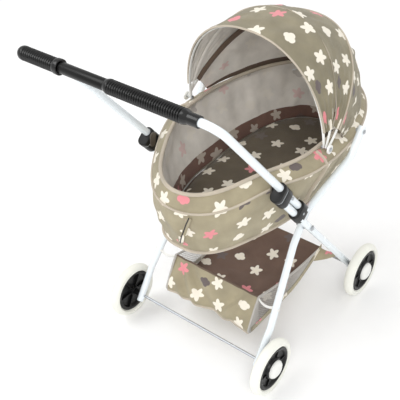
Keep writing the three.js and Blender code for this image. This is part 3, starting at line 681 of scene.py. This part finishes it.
def add_hub_detail(hub, place, sign):
    """Six stiffening ribs in each recess."""
    work = bmesh.new()
    work.from_mesh(hub.data)
    for k in range(6):
        a = math.pi * k / 3
        for low, high, depth in ((0.0095, 0.0345, (-0.0062, -0.0010)), (0.0205, 0.0345, (0.0030, 0.0062))):
            half = 0.0009
            spots = []
            for along in depth:
                for radius, across in ((low, -half), (high, -half), (high, half), (low, half)):
                    y = radius * math.cos(a) - across * math.sin(a)
                    z = radius * math.sin(a) + across * math.cos(a)
                    spots.append(work.verts.new(np.array([sign * along, y, z]) + place))
            for face in BOX_FACES:
                work.faces.new([spots[i] for i in face])
    bmesh.ops.recalc_face_normals(work, faces=work.faces)
    work.to_mesh(hub.data)
    work.free()


# ---------------------------------------------------------------- bassinet
RIM_Y = 0.053
COLUMNS = 180


def ease(value):
    value = np.clip(value, 0, 1)
    return value * value * (3 - 2 * value)


def rings(keys, rows, columns=COLUMNS):
    """A grid through key outlines of (half width, half length, height, dip at the foot end, squareness)."""
    keys = np.array(keys, float)
    at_row = np.linspace(0, len(keys) - 1, rows)
    grid = np.zeros((rows, columns, 3))
    angle = np.linspace(0, 2 * math.pi, columns, endpoint=False)
    for i, t in enumerate(at_row):
        half_width, half_length, height, dip, square = (
            np.interp(t, range(len(keys)), keys[:, k]) for k in range(5))
        power = 2 / square
        c, s = np.cos(angle), np.sin(angle)
        y = RIM_Y + half_length * np.sign(s) * np.abs(s) ** power
        x = half_width * np.sign(c) * np.abs(c) ** power * (1 - 0.11 * ease((RIM_Y - y - 0.05) / 0.12))
        z = height - dip * ease((-y - 0.06) / 0.13)
        grid[i] = np.stack([x, y, z], 1)
    return grid


def sheet_normal(grid):
    normal = np.cross(np.gradient(grid, axis=0), np.gradient(grid, axis=1))
    return normal / np.maximum(np.linalg.norm(normal, axis=2), 1e-12)[:, :, None]


def crumple(grid, amount, scale=(26, 26, 14), seed=0.0, fade=None):
    """Soft dents and folds, pushed along the sheet's own normal."""
    normal = sheet_normal(grid)
    out = grid.copy()
    for i in range(grid.shape[0]):
        for j in range(grid.shape[1]):
            p = grid[i, j]
            n = noise.noise(Vector((p[0] * scale[0] + seed, p[1] * scale[1], p[2] * scale[2])))
            finer = Vector((p[0] * scale[0] * 2.3, p[1] * scale[1] * 2.3 + seed, p[2] * scale[2]))
            n += 0.45 * noise.noise(finer)
            share = 1.0 if fade is None else fade(i / (grid.shape[0] - 1), j / (grid.shape[1] - 1))
            out[i, j] += normal[i, j] * n * amount * share
    return out


def crease(grid, lines, depth, width):
    """Pressed-in folds along lines, each from one (row, column) share to another."""
    rows, columns, _ = grid.shape
    normal = sheet_normal(grid)
    v, u = np.meshgrid(np.linspace(0, 1, rows), np.linspace(0, 1, columns), indexing="ij")
    for (v0, u0), (v1, u1), size in lines:
        dv, du = v1 - v0, u1 - u0
        length = dv * dv + du * du
        t = np.clip(((v - v0) * dv + (u - u0) * du) / length, 0, 1)
        away = np.hypot(v - v0 - t * dv, u - u0 - t * du)
        ridge = np.exp(-(away / width) ** 2) - 0.55 * np.exp(-((away - 1.9 * width) / width) ** 2)
        grid += normal * (depth * size * np.sin(np.pi * np.clip(t, 0.04, 0.96)) * ridge)[:, :, None]


def folds(count, seed, low=0.05, high=0.95, slant=0.03):
    """Lines that run down a sheet, spread along it with some chance in each, for crease()."""
    chance = np.random.RandomState(seed)
    lines = []
    for k in range(count):
        u = (k + chance.uniform(0.15, 0.85)) / count
        v0, v1 = chance.uniform(low, low + 0.25), chance.uniform(high - 0.3, high)
        lean = chance.uniform(-slant, slant)
        lines.append(((v0, u - lean), (v1, u + lean), chance.choice([-1, 1]) * chance.uniform(0.4, 1.0)))
    return lines


BOTTOM_EDGE = (0.108, 0.231, 0.272, 0.0, 2.6)
RIM_EDGE = (0.157, 0.243, 0.388, 0.028, 2.0)
COLLAR_EDGE = (0.130, 0.231, 0.405, 0.018, 2.0)
WALL_KEYS = [BOTTOM_EDGE, (0.121, 0.235, 0.300, 0.006, 2.4), (0.133, 0.238, 0.330, 0.012, 2.3),
             (0.146, 0.241, 0.362, 0.021, 2.15), RIM_EDGE]
COLLAR_KEYS = [RIM_EDGE, (0.153, 0.2415, 0.3935, 0.0265, 2.0), (0.142, 0.236, 0.4005, 0.022, 2.0),
               COLLAR_EDGE]
BOTTOM_KEYS = [(0.106, 0.229, 0.2705, 0, 2.6), (0.07, 0.16, 0.2703, 0, 2.4), (0.002, 0.004, 0.2703, 0, 2)]
LINING_KEYS = [COLLAR_EDGE, (0.139, 0.2290, 0.390, 0.017, 2.05), (0.131, 0.2288, 0.350, 0.012, 2.2),
               (0.112, 0.2285, 0.308, 0.0, 2.4), (0.103, 0.2255, 0.280, 0.0, 2.6)]


def edge_line(key, grow=0.0, lift=0.0, count=160):
    """The closed line of one key outline."""
    half_width, half_length, height, dip, square = key
    return rings([(half_width + grow, half_length + grow, height + lift, dip, square)] * 2, 2, count)[0]


def bassinet():
    ends_free = lambda i, j: math.sin(math.pi * i) ** 0.6
    wall = crumple(rings(WALL_KEYS, 40), 0.0034, fade=ends_free)
    crease(wall, folds(22, 4), 0.0024, 0.013)
    bulge = np.sin(np.linspace(0, math.pi, 40))[:, None, None]
    wall[:, :, :2] += (wall[:, :, :2] - [0, RIM_Y]) * 0.012 * bulge
    obj = shell("wall_panel", wall[:, ::-1], 0.0012, [WALL_CLOTH, LINING, PIPING], closed=True)
    settle(obj, "bassinet", ["bassinet_wall_left", "bassinet_wall_right"])
    collar = crumple(rings(COLLAR_KEYS, 16), 0.0018, seed=7.0, fade=ends_free)
    gather(collar, 0.0022)
    obj = shell("collar_panel", collar[:, ::-1], 0.0012, [WALL_CLOTH, LINING, PIPING], closed=True)
    settle(obj, "bassinet", ["bassinet_collar"])
    lining = crumple(rings(LINING_KEYS, 48), 0.0048, (30, 30, 9), 3.0, ends_free)
    crease(lining, folds(20, 9, slant=0.05), 0.0042, 0.014)
    band_row = 36
    obj = shell("lining_panel", lining[:, ::-1], 0.0009, [LINING, WALL_CLOTH, BAND], closed=True,
                picks=lambda i, j, front: (2 if i >= band_row else 0) if front else 1)
    settle(obj, "bassinet")
    bottom = rings(BOTTOM_KEYS, 10)
    obj = shell("bottom_panel", bottom[:, ::-1], 0.0012, [HEM_AND_SHADE, LINING, PIPING], closed=True)
    settle(obj, "bassinet", ["bassinet_bottom"])
    for name, line, radius, material in (
        ("piping_collar", edge_line(COLLAR_EDGE, 0.0, 0.0006), 0.0034, PIPING),
        ("piping_rim", edge_line(RIM_EDGE, 0.0006), 0.0020, PIPING),
        ("piping_bottom", edge_line(BOTTOM_EDGE, 0.0008, 0.0005), 0.0030, PIPING),
    ):
        pipe = sweep(name, line, radius, material, (0, 0, 1), 14, closed=True)
        settle(pipe, "bassinet")
    zip_fastener(wall)
    side_straps(wall, collar)


def gather(grid, depth, waves=84):
    """Elastic gathers in both long sides, just behind the hood's hinges."""
    rows, columns, _ = grid.shape
    for j in range(columns):
        turn = 2 * math.pi * j / columns
        ahead = ease((0.30 - math.sin(turn)) / 0.25)
        near = abs(math.cos(turn)) ** 6 * ahead * ease((math.sin(turn) + 0.75) / 0.3)
        wave = math.sin(waves * turn) + 0.5 * math.sin(waves * 0.61 * turn + 1.0)
        for i in range(rows):
            part = math.sin(math.pi * (i + 0.5) / rows)
            grid[i, j, 2] += depth * wave * near * part


def side_straps(wall, collar):
    """A flat tape down each side of the wall, from the rim to the bottom."""
    rows, columns, _ = wall.shape
    for side, sign in SIDES:
        turn = math.radians(-9 if sign > 0 else 189) % (2 * math.pi)
        column = int(round(turn / (2 * math.pi) * columns)) % columns
        over = [*wall[::-1][:, column][::-1], *collar[::-1][:, column][::-1]]
        path = np.array(over)[1:-2]
        path[:, 0] += sign * 0.0016
        smoothed(path, 2)
        tape = sweep(f"side_tape_{side}", path, 0.0042, PIPING, (1, 0, 0), 12, flat=0.22)
        settle(tape, "bassinet")


def zip_fastener(wall):
    """A dark zip in the foot end's wall, with cloth tape along both sides."""
    rows, columns, _ = wall.shape
    path = []
    for t in np.linspace(0, 1, 24):
        row = int(round((0.90 - 0.72 * t) * (rows - 1)))
        column = (0.75 + 0.036 - 0.030 * t) * columns
        low = int(column) % columns
        share = column - int(column)
        path.append(wall[row, low] * (1 - share) + wall[row, (low + 1) % columns] * share)
    path = smoothed(np.array(path), 3)
    path[:, 1] -= 0.0012
    tape = sweep("zip_tape", path, 0.0055, WALL_CLOTH, (1, 0, 0), 14, flat=0.16)
    settle(tape, "bassinet")
    path[:, 1] -= 0.0006
    teeth = sweep("zip_teeth", path, 0.0013, TOOTH, (1, 0, 0), 10, flat=0.8)
    settle(teeth, "bassinet")


def mattress():
    """The padded floor, blown up like foam inside its cover."""
    keys = [(0.092, 0.212, 0.2785, 0, 2.5), (0.098, 0.218, 0.2795, 0, 2.5), (0.0985, 0.2185, 0.2855, 0, 2.5),
            (0.097, 0.217, 0.2895, 0, 2.5), (0.090, 0.210, 0.2915, 0, 2.5)]
    grid = rings(keys, 9, 96)
    verts = at(grid).reshape(-1, 3)
    rows, columns = grid.shape[:2]
    faces = [(i * columns + j, i * columns + (j + 1) % columns, (i + 1) * columns + (j + 1) % columns,
              (i + 1) * columns + j) for i in range(rows - 1) for j in range(columns)]
    faces += [tuple(range(columns)), tuple(range((rows - 1) * columns, rows * columns))]
    # The pad's cover takes the darker floor cloth, which is painted shade.
    pad = piece("floor_pad", verts, faces, [FLOOR_IN_SHADE])
    inflate(pad, voxel=0.005, most=0.006)
    settle(pad, "bassinet", ["mattress"])


def inflate(obj, voxel, most):
    """Remeshes a closed piece, blows it up as cloth, and caps how far any point may go."""
    remesh = obj.modifiers.new("voxels", "REMESH")
    remesh.mode = "VOXEL"
    remesh.voxel_size = voxel
    bake_modifiers(obj)
    rest = np.array([v.co for v in obj.data.vertices], float)
    cloth_modifier = obj.modifiers.new("cloth", "CLOTH")
    cloth_modifier.settings.use_pressure = True
    cloth_modifier.settings.uniform_pressure_force = 4.0
    cloth_modifier.settings.effector_weights.gravity = 0.0
    cloth_modifier.settings.quality = 5
    scene = bpy.context.scene
    for step in range(1, 21):
        scene.frame_set(step)
    bake_modifiers(obj)
    scene.frame_set(1)
    moved = np.array([v.co for v in obj.data.vertices], float)
    push = moved - rest
    length = np.linalg.norm(push, axis=1)
    push *= np.minimum(1.0, most / np.maximum(length, 1e-9))[:, None]
    obj.data.vertices.foreach_set("co", (rest + push).astype(np.float32).ravel())
    smooth = obj.modifiers.new("finer", "SUBSURF")
    smooth.levels = 1
    smooth.render_levels = 1
    bake_modifiers(obj)
    obj.data.polygons.foreach_set("use_smooth", [True] * len(obj.data.polygons))
    if not obj.data.materials:
        obj.data.materials.append(FLOOR_IN_SHADE)


# ---------------------------------------------------------------- hood
RIB_ANGLES = (38.0, 66.0, 95.0)
RIB_WIDTHS = (0.1482, 0.1444, 0.1406)
RIB_HEIGHTS = (0.216, 0.192, 0.180)
HOOD_POWER = 2 / 2.2
SIDE_START = 0.14


def hood_point(turn, degrees, lift=0.0):
    """A point of the hood: turn goes over it from right to left, degrees is its tilt about the hinge."""
    half_width = np.interp(degrees, RIB_ANGLES, RIB_WIDTHS) + lift
    height = np.interp(degrees, RIB_ANGLES, RIB_HEIGHTS) + lift
    c, s = np.cos(turn), np.abs(np.sin(turn))
    out = height * s ** HOOD_POWER
    tilt = np.radians(degrees)
    x = half_width * np.sign(c) * np.abs(c) ** HOOD_POWER
    return np.stack([x, HINGE[1] + out * np.cos(tilt), HINGE[2] + out * np.sin(tilt)], -1)


def rib_normal(degrees):
    tilt = math.radians(degrees)
    return 0, -math.sin(tilt), math.cos(tilt)


def panel(first, last, rows=26, seed=0.0):
    """The cloth between two tilts: it sags in the middle and is gathered towards the hinges."""
    columns, sag, pull, waves = 120, 0.004, 0.0035, 4.0
    turns = np.linspace(SIDE_START, math.pi - SIDE_START, columns)
    parts = np.linspace(0, 1, rows)
    grid = np.zeros((rows, columns, 3))
    for i, part in enumerate(parts):
        degrees = first + (last - first) * part
        hang = math.sin(math.pi * part)
        side = np.exp(-np.minimum(turns, math.pi - turns) / 0.3)
        ripple = pull * side * math.sin(2 * math.pi * waves * part + seed)
        lift = 0.0033 - sag * hang * np.sin(turns) + ripple
        grid[i] = hood_point(turns, np.full(columns, degrees), lift)
    return grid


def canopy(name, grid, seed, fold_seed, depth, facing_rows):
    """The cloth between two ribs, from a grid that panel() makes. facing_rows are lined with its own
    outer cloth."""
    grid = crumple(grid, 0.0022, (20, 20, 20), seed)
    crease(grid, folds(9, fold_seed, 0.02, 0.98, 0.06), depth, 0.02)
    obj = shell(f"canopy_{name}_cloth", grid, 0.0013, [HOOD_CLOTH, LINING, PIPING],
                picks=lambda i, j, outer: 0 if outer or i < facing_rows else 1)
    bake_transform(obj)
    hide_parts(f"canopy_{name}")


def hood():
    canopy("front", panel(96.8, 66.4, rows=30), 2.0, 12, 0.0022, 9)
    canopy("rear", panel(65.8, 38.6, seed=1.0), 5.0, 15, 0.0024, 0)
    back_curtain()
    for name, degrees in zip(("rear", "mid", "front"), RIB_ANGLES):
        line = hood_point(np.linspace(0.0, math.pi, 90), np.full(90, degrees))
        strip = sweep(f"hood_strip_{name}", line, 0.0034, WHITE_PLASTIC, rib_normal(degrees), 16, flat=0.42)
        settle(strip, f"hood_{name}", [f"hood_rib_{name}"])
    turns = np.linspace(SIDE_START, math.pi - SIDE_START, 90)
    hem = hood_point(turns, np.full(90, 96.9), 0.0030)
    settle(sweep("hood_front_hem", hem, 0.0017, PIPING, (0, 1, 0), 12), "hood_front")
    seam = hood_point(turns, np.full(90, 38.4), 0.0042)
    piping = sweep("hood_rear_piping", seam, 0.0017, PIPING, rib_normal(38), 12)
    settle(piping, "hood_rear")
    for name, degrees, material, wide in (("mid", 66.0, LINING, 0.0052), ("rear", 38.0, HEM_AND_SHADE, 0.0064)):
        inner = hood_point(turns, np.full(90, degrees), -0.0008)
        sleeve = sweep(f"rib_sleeve_{name}", inner, wide, material, rib_normal(degrees), 16, flat=0.45)
        settle(sleeve, f"hood_{name}")


def back_curtain():
    """The hood's back, from the rear rib down to the rim round the head end."""
    rows, columns = 26, 120
    turns = np.linspace(SIDE_START, math.pi - SIDE_START, columns)
    top = hood_point(turns, np.full(columns, 38.2), 0.0033)
    rim = np.stack([0.1465 * np.cos(turns), RIM_Y + 0.2365 * np.sin(turns), np.full(columns, 0.400)], 1)
    grid = np.zeros((rows, columns, 3))
    for i, part in enumerate(np.linspace(0, 1, rows)):
        grid[i] = top * (1 - part) + rim * part
        grid[i, :, 1] += 0.014 * math.sin(math.pi * part) * np.sin(turns)
    grid = crumple(grid, 0.0034, (22, 22, 16), 9.0, lambda i, j: math.sin(math.pi * min(i, 0.95)) ** 0.5)
    crease(grid, folds(14, 18, 0.02, 0.9, 0.05), 0.0034, 0.018)
    # On the inside, the lowest rows take the dark brown hem cloth as painted shade, where the curtain meets
    # the rim.
    obj = shell("hood_back_cloth", grid, 0.0013, [HOOD_CLOTH, LINING, HEM_AND_SHADE],
                picks=lambda i, j, outer: 0 if outer else (2 if i > rows - 5 else 1))
    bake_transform(obj)
    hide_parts("hood_back")


# ---------------------------------------------------------------- basket
BASKET_X = 0.096
SLING_LINE = [(-0.088, 0.137), (-0.1, 0.118), (-0.113, 0.094), (-0.122, 0.077), (-0.118, 0.0715),
              (-0.105, 0.071), (-0.06, 0.0715), (-0.02, 0.071), (0.019, 0.072), (0.045, 0.078),
              (0.07, 0.087), (0.095, 0.098), (0.118, 0.108)]


def smooth_line(points, count):
    points = np.array(points, float)
    run = np.concatenate([[0], np.cumsum(np.linalg.norm(np.diff(points, axis=0), axis=1))])
    spots = np.linspace(0, run[-1], count)
    return smoothed(np.stack([np.interp(spots, run, points[:, k]) for k in range(points.shape[1])], 1), 2)


def on_basket(obj, slot, *nodes):
    """Bakes a basket piece's place into its mesh, and hides the CAD nodes that it replaces."""
    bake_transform(obj)
    if nodes:
        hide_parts(*nodes)
    return obj


def basket():
    rows, columns = 96, 64
    line = smooth_line(SLING_LINE, rows)
    across = np.linspace(-BASKET_X, BASKET_X, columns)
    grid = np.zeros((rows, columns, 3))
    for i, (y, z) in enumerate(line):
        sag = 0.006 * (1 - (across / BASKET_X) ** 2)
        wall = np.clip((-y - 0.085) / 0.03, 0, 1)
        grid[i] = np.stack([across, y + sag * wall * 0.6, np.full(columns, z)], 1)
    fold = lambda i, j: 1.0 if i < 0.32 else 0.45
    grid = crumple(grid, 0.0042, (17, 30, 22), 11.0, fold)
    grid[:, :, 2] = np.maximum(grid[:, :, 2], 0.0705)
    crease(grid, [((0.02, 0.10), (0.27, 0.42), 1.0), ((0.03, 0.16), (0.28, 0.70), -0.7),
                  ((0.03, 0.92), (0.24, 0.66), 1.1), ((0.10, 0.02), (0.26, 0.30), 0.8)], 0.0062, 0.034)
    sling = shell("basket_cloth", grid, 0.0014, [WALL_CLOTH, SLING_IN, PIPING])
    on_basket(sling, "brown_fabric", "basket_sling")
    top = grid[0].copy()
    on_basket(sweep("basket_rear_hem", top, 0.0017, HEM_AND_SHADE, (0, 0, 1), 10), "brown_fabric")
    corner = grid[int(np.argmin(line[:, 0])) + 2].copy()
    corner[:, 2] -= 0.0008
    on_basket(sweep("basket_bottom_piping", corner, 0.0024, PIPING, (0, 0, 1), 12), "brown_fabric")
    front = grid[-1].copy()
    on_basket(sweep("basket_front_hem", front, 0.0017, HEM_AND_SHADE, (0, 0, 1), 10), "brown_fabric")
    for side, sign in SIDES:
        x = sign * (BASKET_X + 0.0006)
        edge = np.stack([np.full(rows, x), line[:, 0], line[:, 1]], 1)
        on_basket(sweep(f"basket_piping_{side}", edge, 0.0021, NET, (1, 0, 0), 12), "mesh_fabric")
        net(side, x, line)
        band = np.zeros((4, rows, 3))
        for i, lift in enumerate(np.linspace(0, 0.010, 4)):
            band[i] = np.stack([np.full(rows, x + sign * 0.0012), line[:, 0], line[:, 1] + lift], 1)
        band = band[:, rows // 4:]
        strip = shell(f"basket_side_band_{side}", band, 0.0010, [WALL_CLOTH, WALL_CLOTH])
        on_basket(strip, "brown_fabric")
        ties(side, sign)
    trims = ["basket_rear_hem", "basket_bottom_piping", "basket_front_hem"]
    for side, _ in SIDES:
        trims += [f"basket_{trim}_{side}" for trim in ("piping", "net", "side_band", "mouth")]


def net(side, x, line):
    """Knitted net: a lattice of thin cords between the sling's edge and the line of the basket's mouth."""
    back, front = line[0], line[-1]
    verts, index, faces = [], {}, []
    pitch = 0.0031
    low = lambda y: float(np.interp(y, line[np.argmin(line[:, 0]):, 0], line[np.argmin(line[:, 0]):, 1]))
    high = lambda y: float(np.interp(y, [back[0], front[0]], [back[1], front[1]])) - 0.008 * math.sin(
        math.pi * np.clip((y - back[0]) / (front[0] - back[0]), 0, 1))
    y_values = np.arange(line[:, 0].min() + 0.002, front[0], pitch)
    rows = 22

    def vertex(i, j):
        if (i, j) not in index:
            y = y_values[i]
            corner = float(np.interp(y, [line[:, 0].min(), back[0]], [0.077, back[1]]))
            top = high(y) if y > back[0] else corner
            z = low(y) + (max(top - low(y), 0.0005)) * j / rows
            index[i, j] = len(verts)
            verts.append(at([x, y, z]))
        return index[i, j]

    for i in range(len(y_values) - 2):
        for j in range(rows - 1):
            if (i + j) % 2 == 0 and j + 2 <= rows:
                corners = [vertex(i + 1, j), vertex(i + 2, j + 1), vertex(i + 1, j + 2), vertex(i, j + 1)]
                faces.append(corners)
    mesh = bpy.data.meshes.new(f"basket_net_{side}")
    mesh.from_pydata([tuple(v) for v in verts], [], faces)
    mesh.materials.append(NET)
    obj = add(f"basket_net_{side}", mesh)
    wire = obj.modifiers.new("cords", "WIREFRAME")
    wire.thickness = 0.0012
    wire.use_even_offset = False
    bake_modifiers(obj)
    on_basket(obj, "mesh_fabric", f"basket_mesh_{side}")
    mouth = [[x, y, high(y)] for y in np.linspace(back[0], front[0], 40)]
    on_basket(sweep(f"basket_mouth_{side}", mouth, 0.0022, NET, (1, 0, 0), 12), "mesh_fabric")


def ties(side, sign):
    """White loops to the rear legs, and cloth tabs to the front legs."""
    leg = rear_leg_line(sign)
    height = 0.131
    spot = leg[np.argmin(np.abs(leg[:, 2] - height))]
    corners = [[sign * BASKET_X, -0.088, 0.134], [sign * 0.115, -0.096, height], spot - [sign * 0.004, 0, 0]]
    loop = rounded(corners, 0.03, 6)
    obj = sweep(f"basket_tie_{side}", dense(loop, 0.006), 0.0034, WEBBING, (0, 0, 1), 12, flat=0.3)
    settle(obj, "rear_frame", [f"basket_loop_{side}"])
    ring = [spot + np.array([math.cos(a) * 0.0073, math.sin(a) * 0.0043, 0])
            for a in np.linspace(0, 2 * math.pi, 28, endpoint=False)]
    ring = [p + [0, 0, 0.0004 * math.sin(k)] for k, p in enumerate(ring)]
    obj = sweep(f"basket_tie_ring_{side}", ring, 0.0030, WEBBING, (0, 0, 1), 10, closed=True, flat=0.3)
    settle(obj, "rear_frame")
    hold = on_front(sign * (LEG_X - 0.006), 0.075)
    tab = np.zeros((8, 8, 3))
    for i, s in enumerate(np.linspace(0, 1, 8)):
        for j, t in enumerate(np.linspace(0, 1, 8)):
            inner = np.array([sign * BASKET_X, 0.118 - 0.03 * (1 - t), 0.108 - 0.014 * (1 - t)])
            outer = hold + FRONT_WAY * (-0.012 + 0.02 * t)
            tab[i, j] = inner * (1 - s) + outer * s
            tab[i, j, 2] -= 0.003 * math.sin(math.pi * s)
    obj = shell(f"basket_tab_{side}", tab if sign < 0 else tab[::-1], 0.0012, [WALL_CLOTH, WALL_CLOTH])
    settle(obj, "front_frame")


# ---------------------------------------------------------------- small CAD pieces that stay
def finish_cad():
    looks = {"zinc": ZINC_AND_HIGHLIGHT, "black_plastic": BLACK, "white_plastic": WHITE_PLASTIC, "white_steel": WHITE_STEEL,
             "bracket_plastic": BRACKET, "black_foam": FOAM, "black_sleeve": SLEEVE,
             "white_tyre": TYRE}
    for row in frame["record"]["subparts"]:
        node = frame["nodes"][row["node"]]
        material = looks.get(row["material_slot"])
        if node.hide_render or material is None:
            continue
        node.data.materials.clear()
        node.data.materials.append(material)


# ---------------------------------------------------------------- floor, light and camera
def studio():
    half = 6.0
    verts = [(-half, -half, 0), (half, -half, 0), (half, half, 0), (-half, half, 0)]
    pale = moulded("studio_floor", rgb(252, 252, 252), 0.9, 60.0, 0.0, 0.01)
    piece("floor", verts, [(0, 1, 2, 3)], [pale])
    world = bpy.data.worlds.new("studio")
    bpy.context.scene.world = world
    world.use_nodes = True
    world.node_tree.nodes["Background"].inputs["Color"].default_value = (1, 1, 1, 1)
    world.node_tree.nodes["Background"].inputs["Strength"].default_value = 0.8
    lamps = (("key", (-1.2, -1.2, 2.6), 1.6, 24), ("front", (1.3, -1.7, 1.9), 1.2, 24),
             ("back", (0.2, 2.6, 2.2), 2.0, 12))
    for name, place, size, power in lamps:
        light = bpy.data.lights.new(name, "AREA")
        light.energy = power
        light.size = size
        lamp = add(name, light)
        lamp.location = place
        lamp.rotation_mode = "QUATERNION"
        lamp.rotation_quaternion = (Vector((0, 0, 0.3)) - Vector(place)).to_track_quat("-Z", "Y")
    bpy.context.scene.view_settings.view_transform = "Standard"


def camera():
    """Above and behind the pusher's right shoulder."""
    place = np.array([0.7127, -0.939, 1.1759])
    yaw, pitch, roll, lens = 0.716, 0.66, -0.060, 74.05
    ahead = Vector((-math.sin(yaw) * math.cos(pitch), math.cos(yaw) * math.cos(pitch), -math.sin(pitch)))
    right = ahead.cross(Vector((0, 0, 1))).normalized()
    up = right.cross(ahead)
    across = math.cos(roll) * right + math.sin(roll) * up
    above = -math.sin(roll) * right + math.cos(roll) * up
    data = bpy.data.cameras.new("camera")
    data.lens = lens
    data.sensor_width = 36
    data.clip_start = 0.01
    obj = add("camera", data)
    spot = at(place)
    rows = [[across[k], above[k], -ahead[k], spot[k]] for k in range(3)]
    obj.matrix_world = Matrix([*rows, [0, 0, 0, 1]])
    bpy.context.scene.camera = obj


camera()
studio()
legs()
handle()
clamps()
wheels()
bassinet()
mattress()
hood()
basket()
finish_cad()
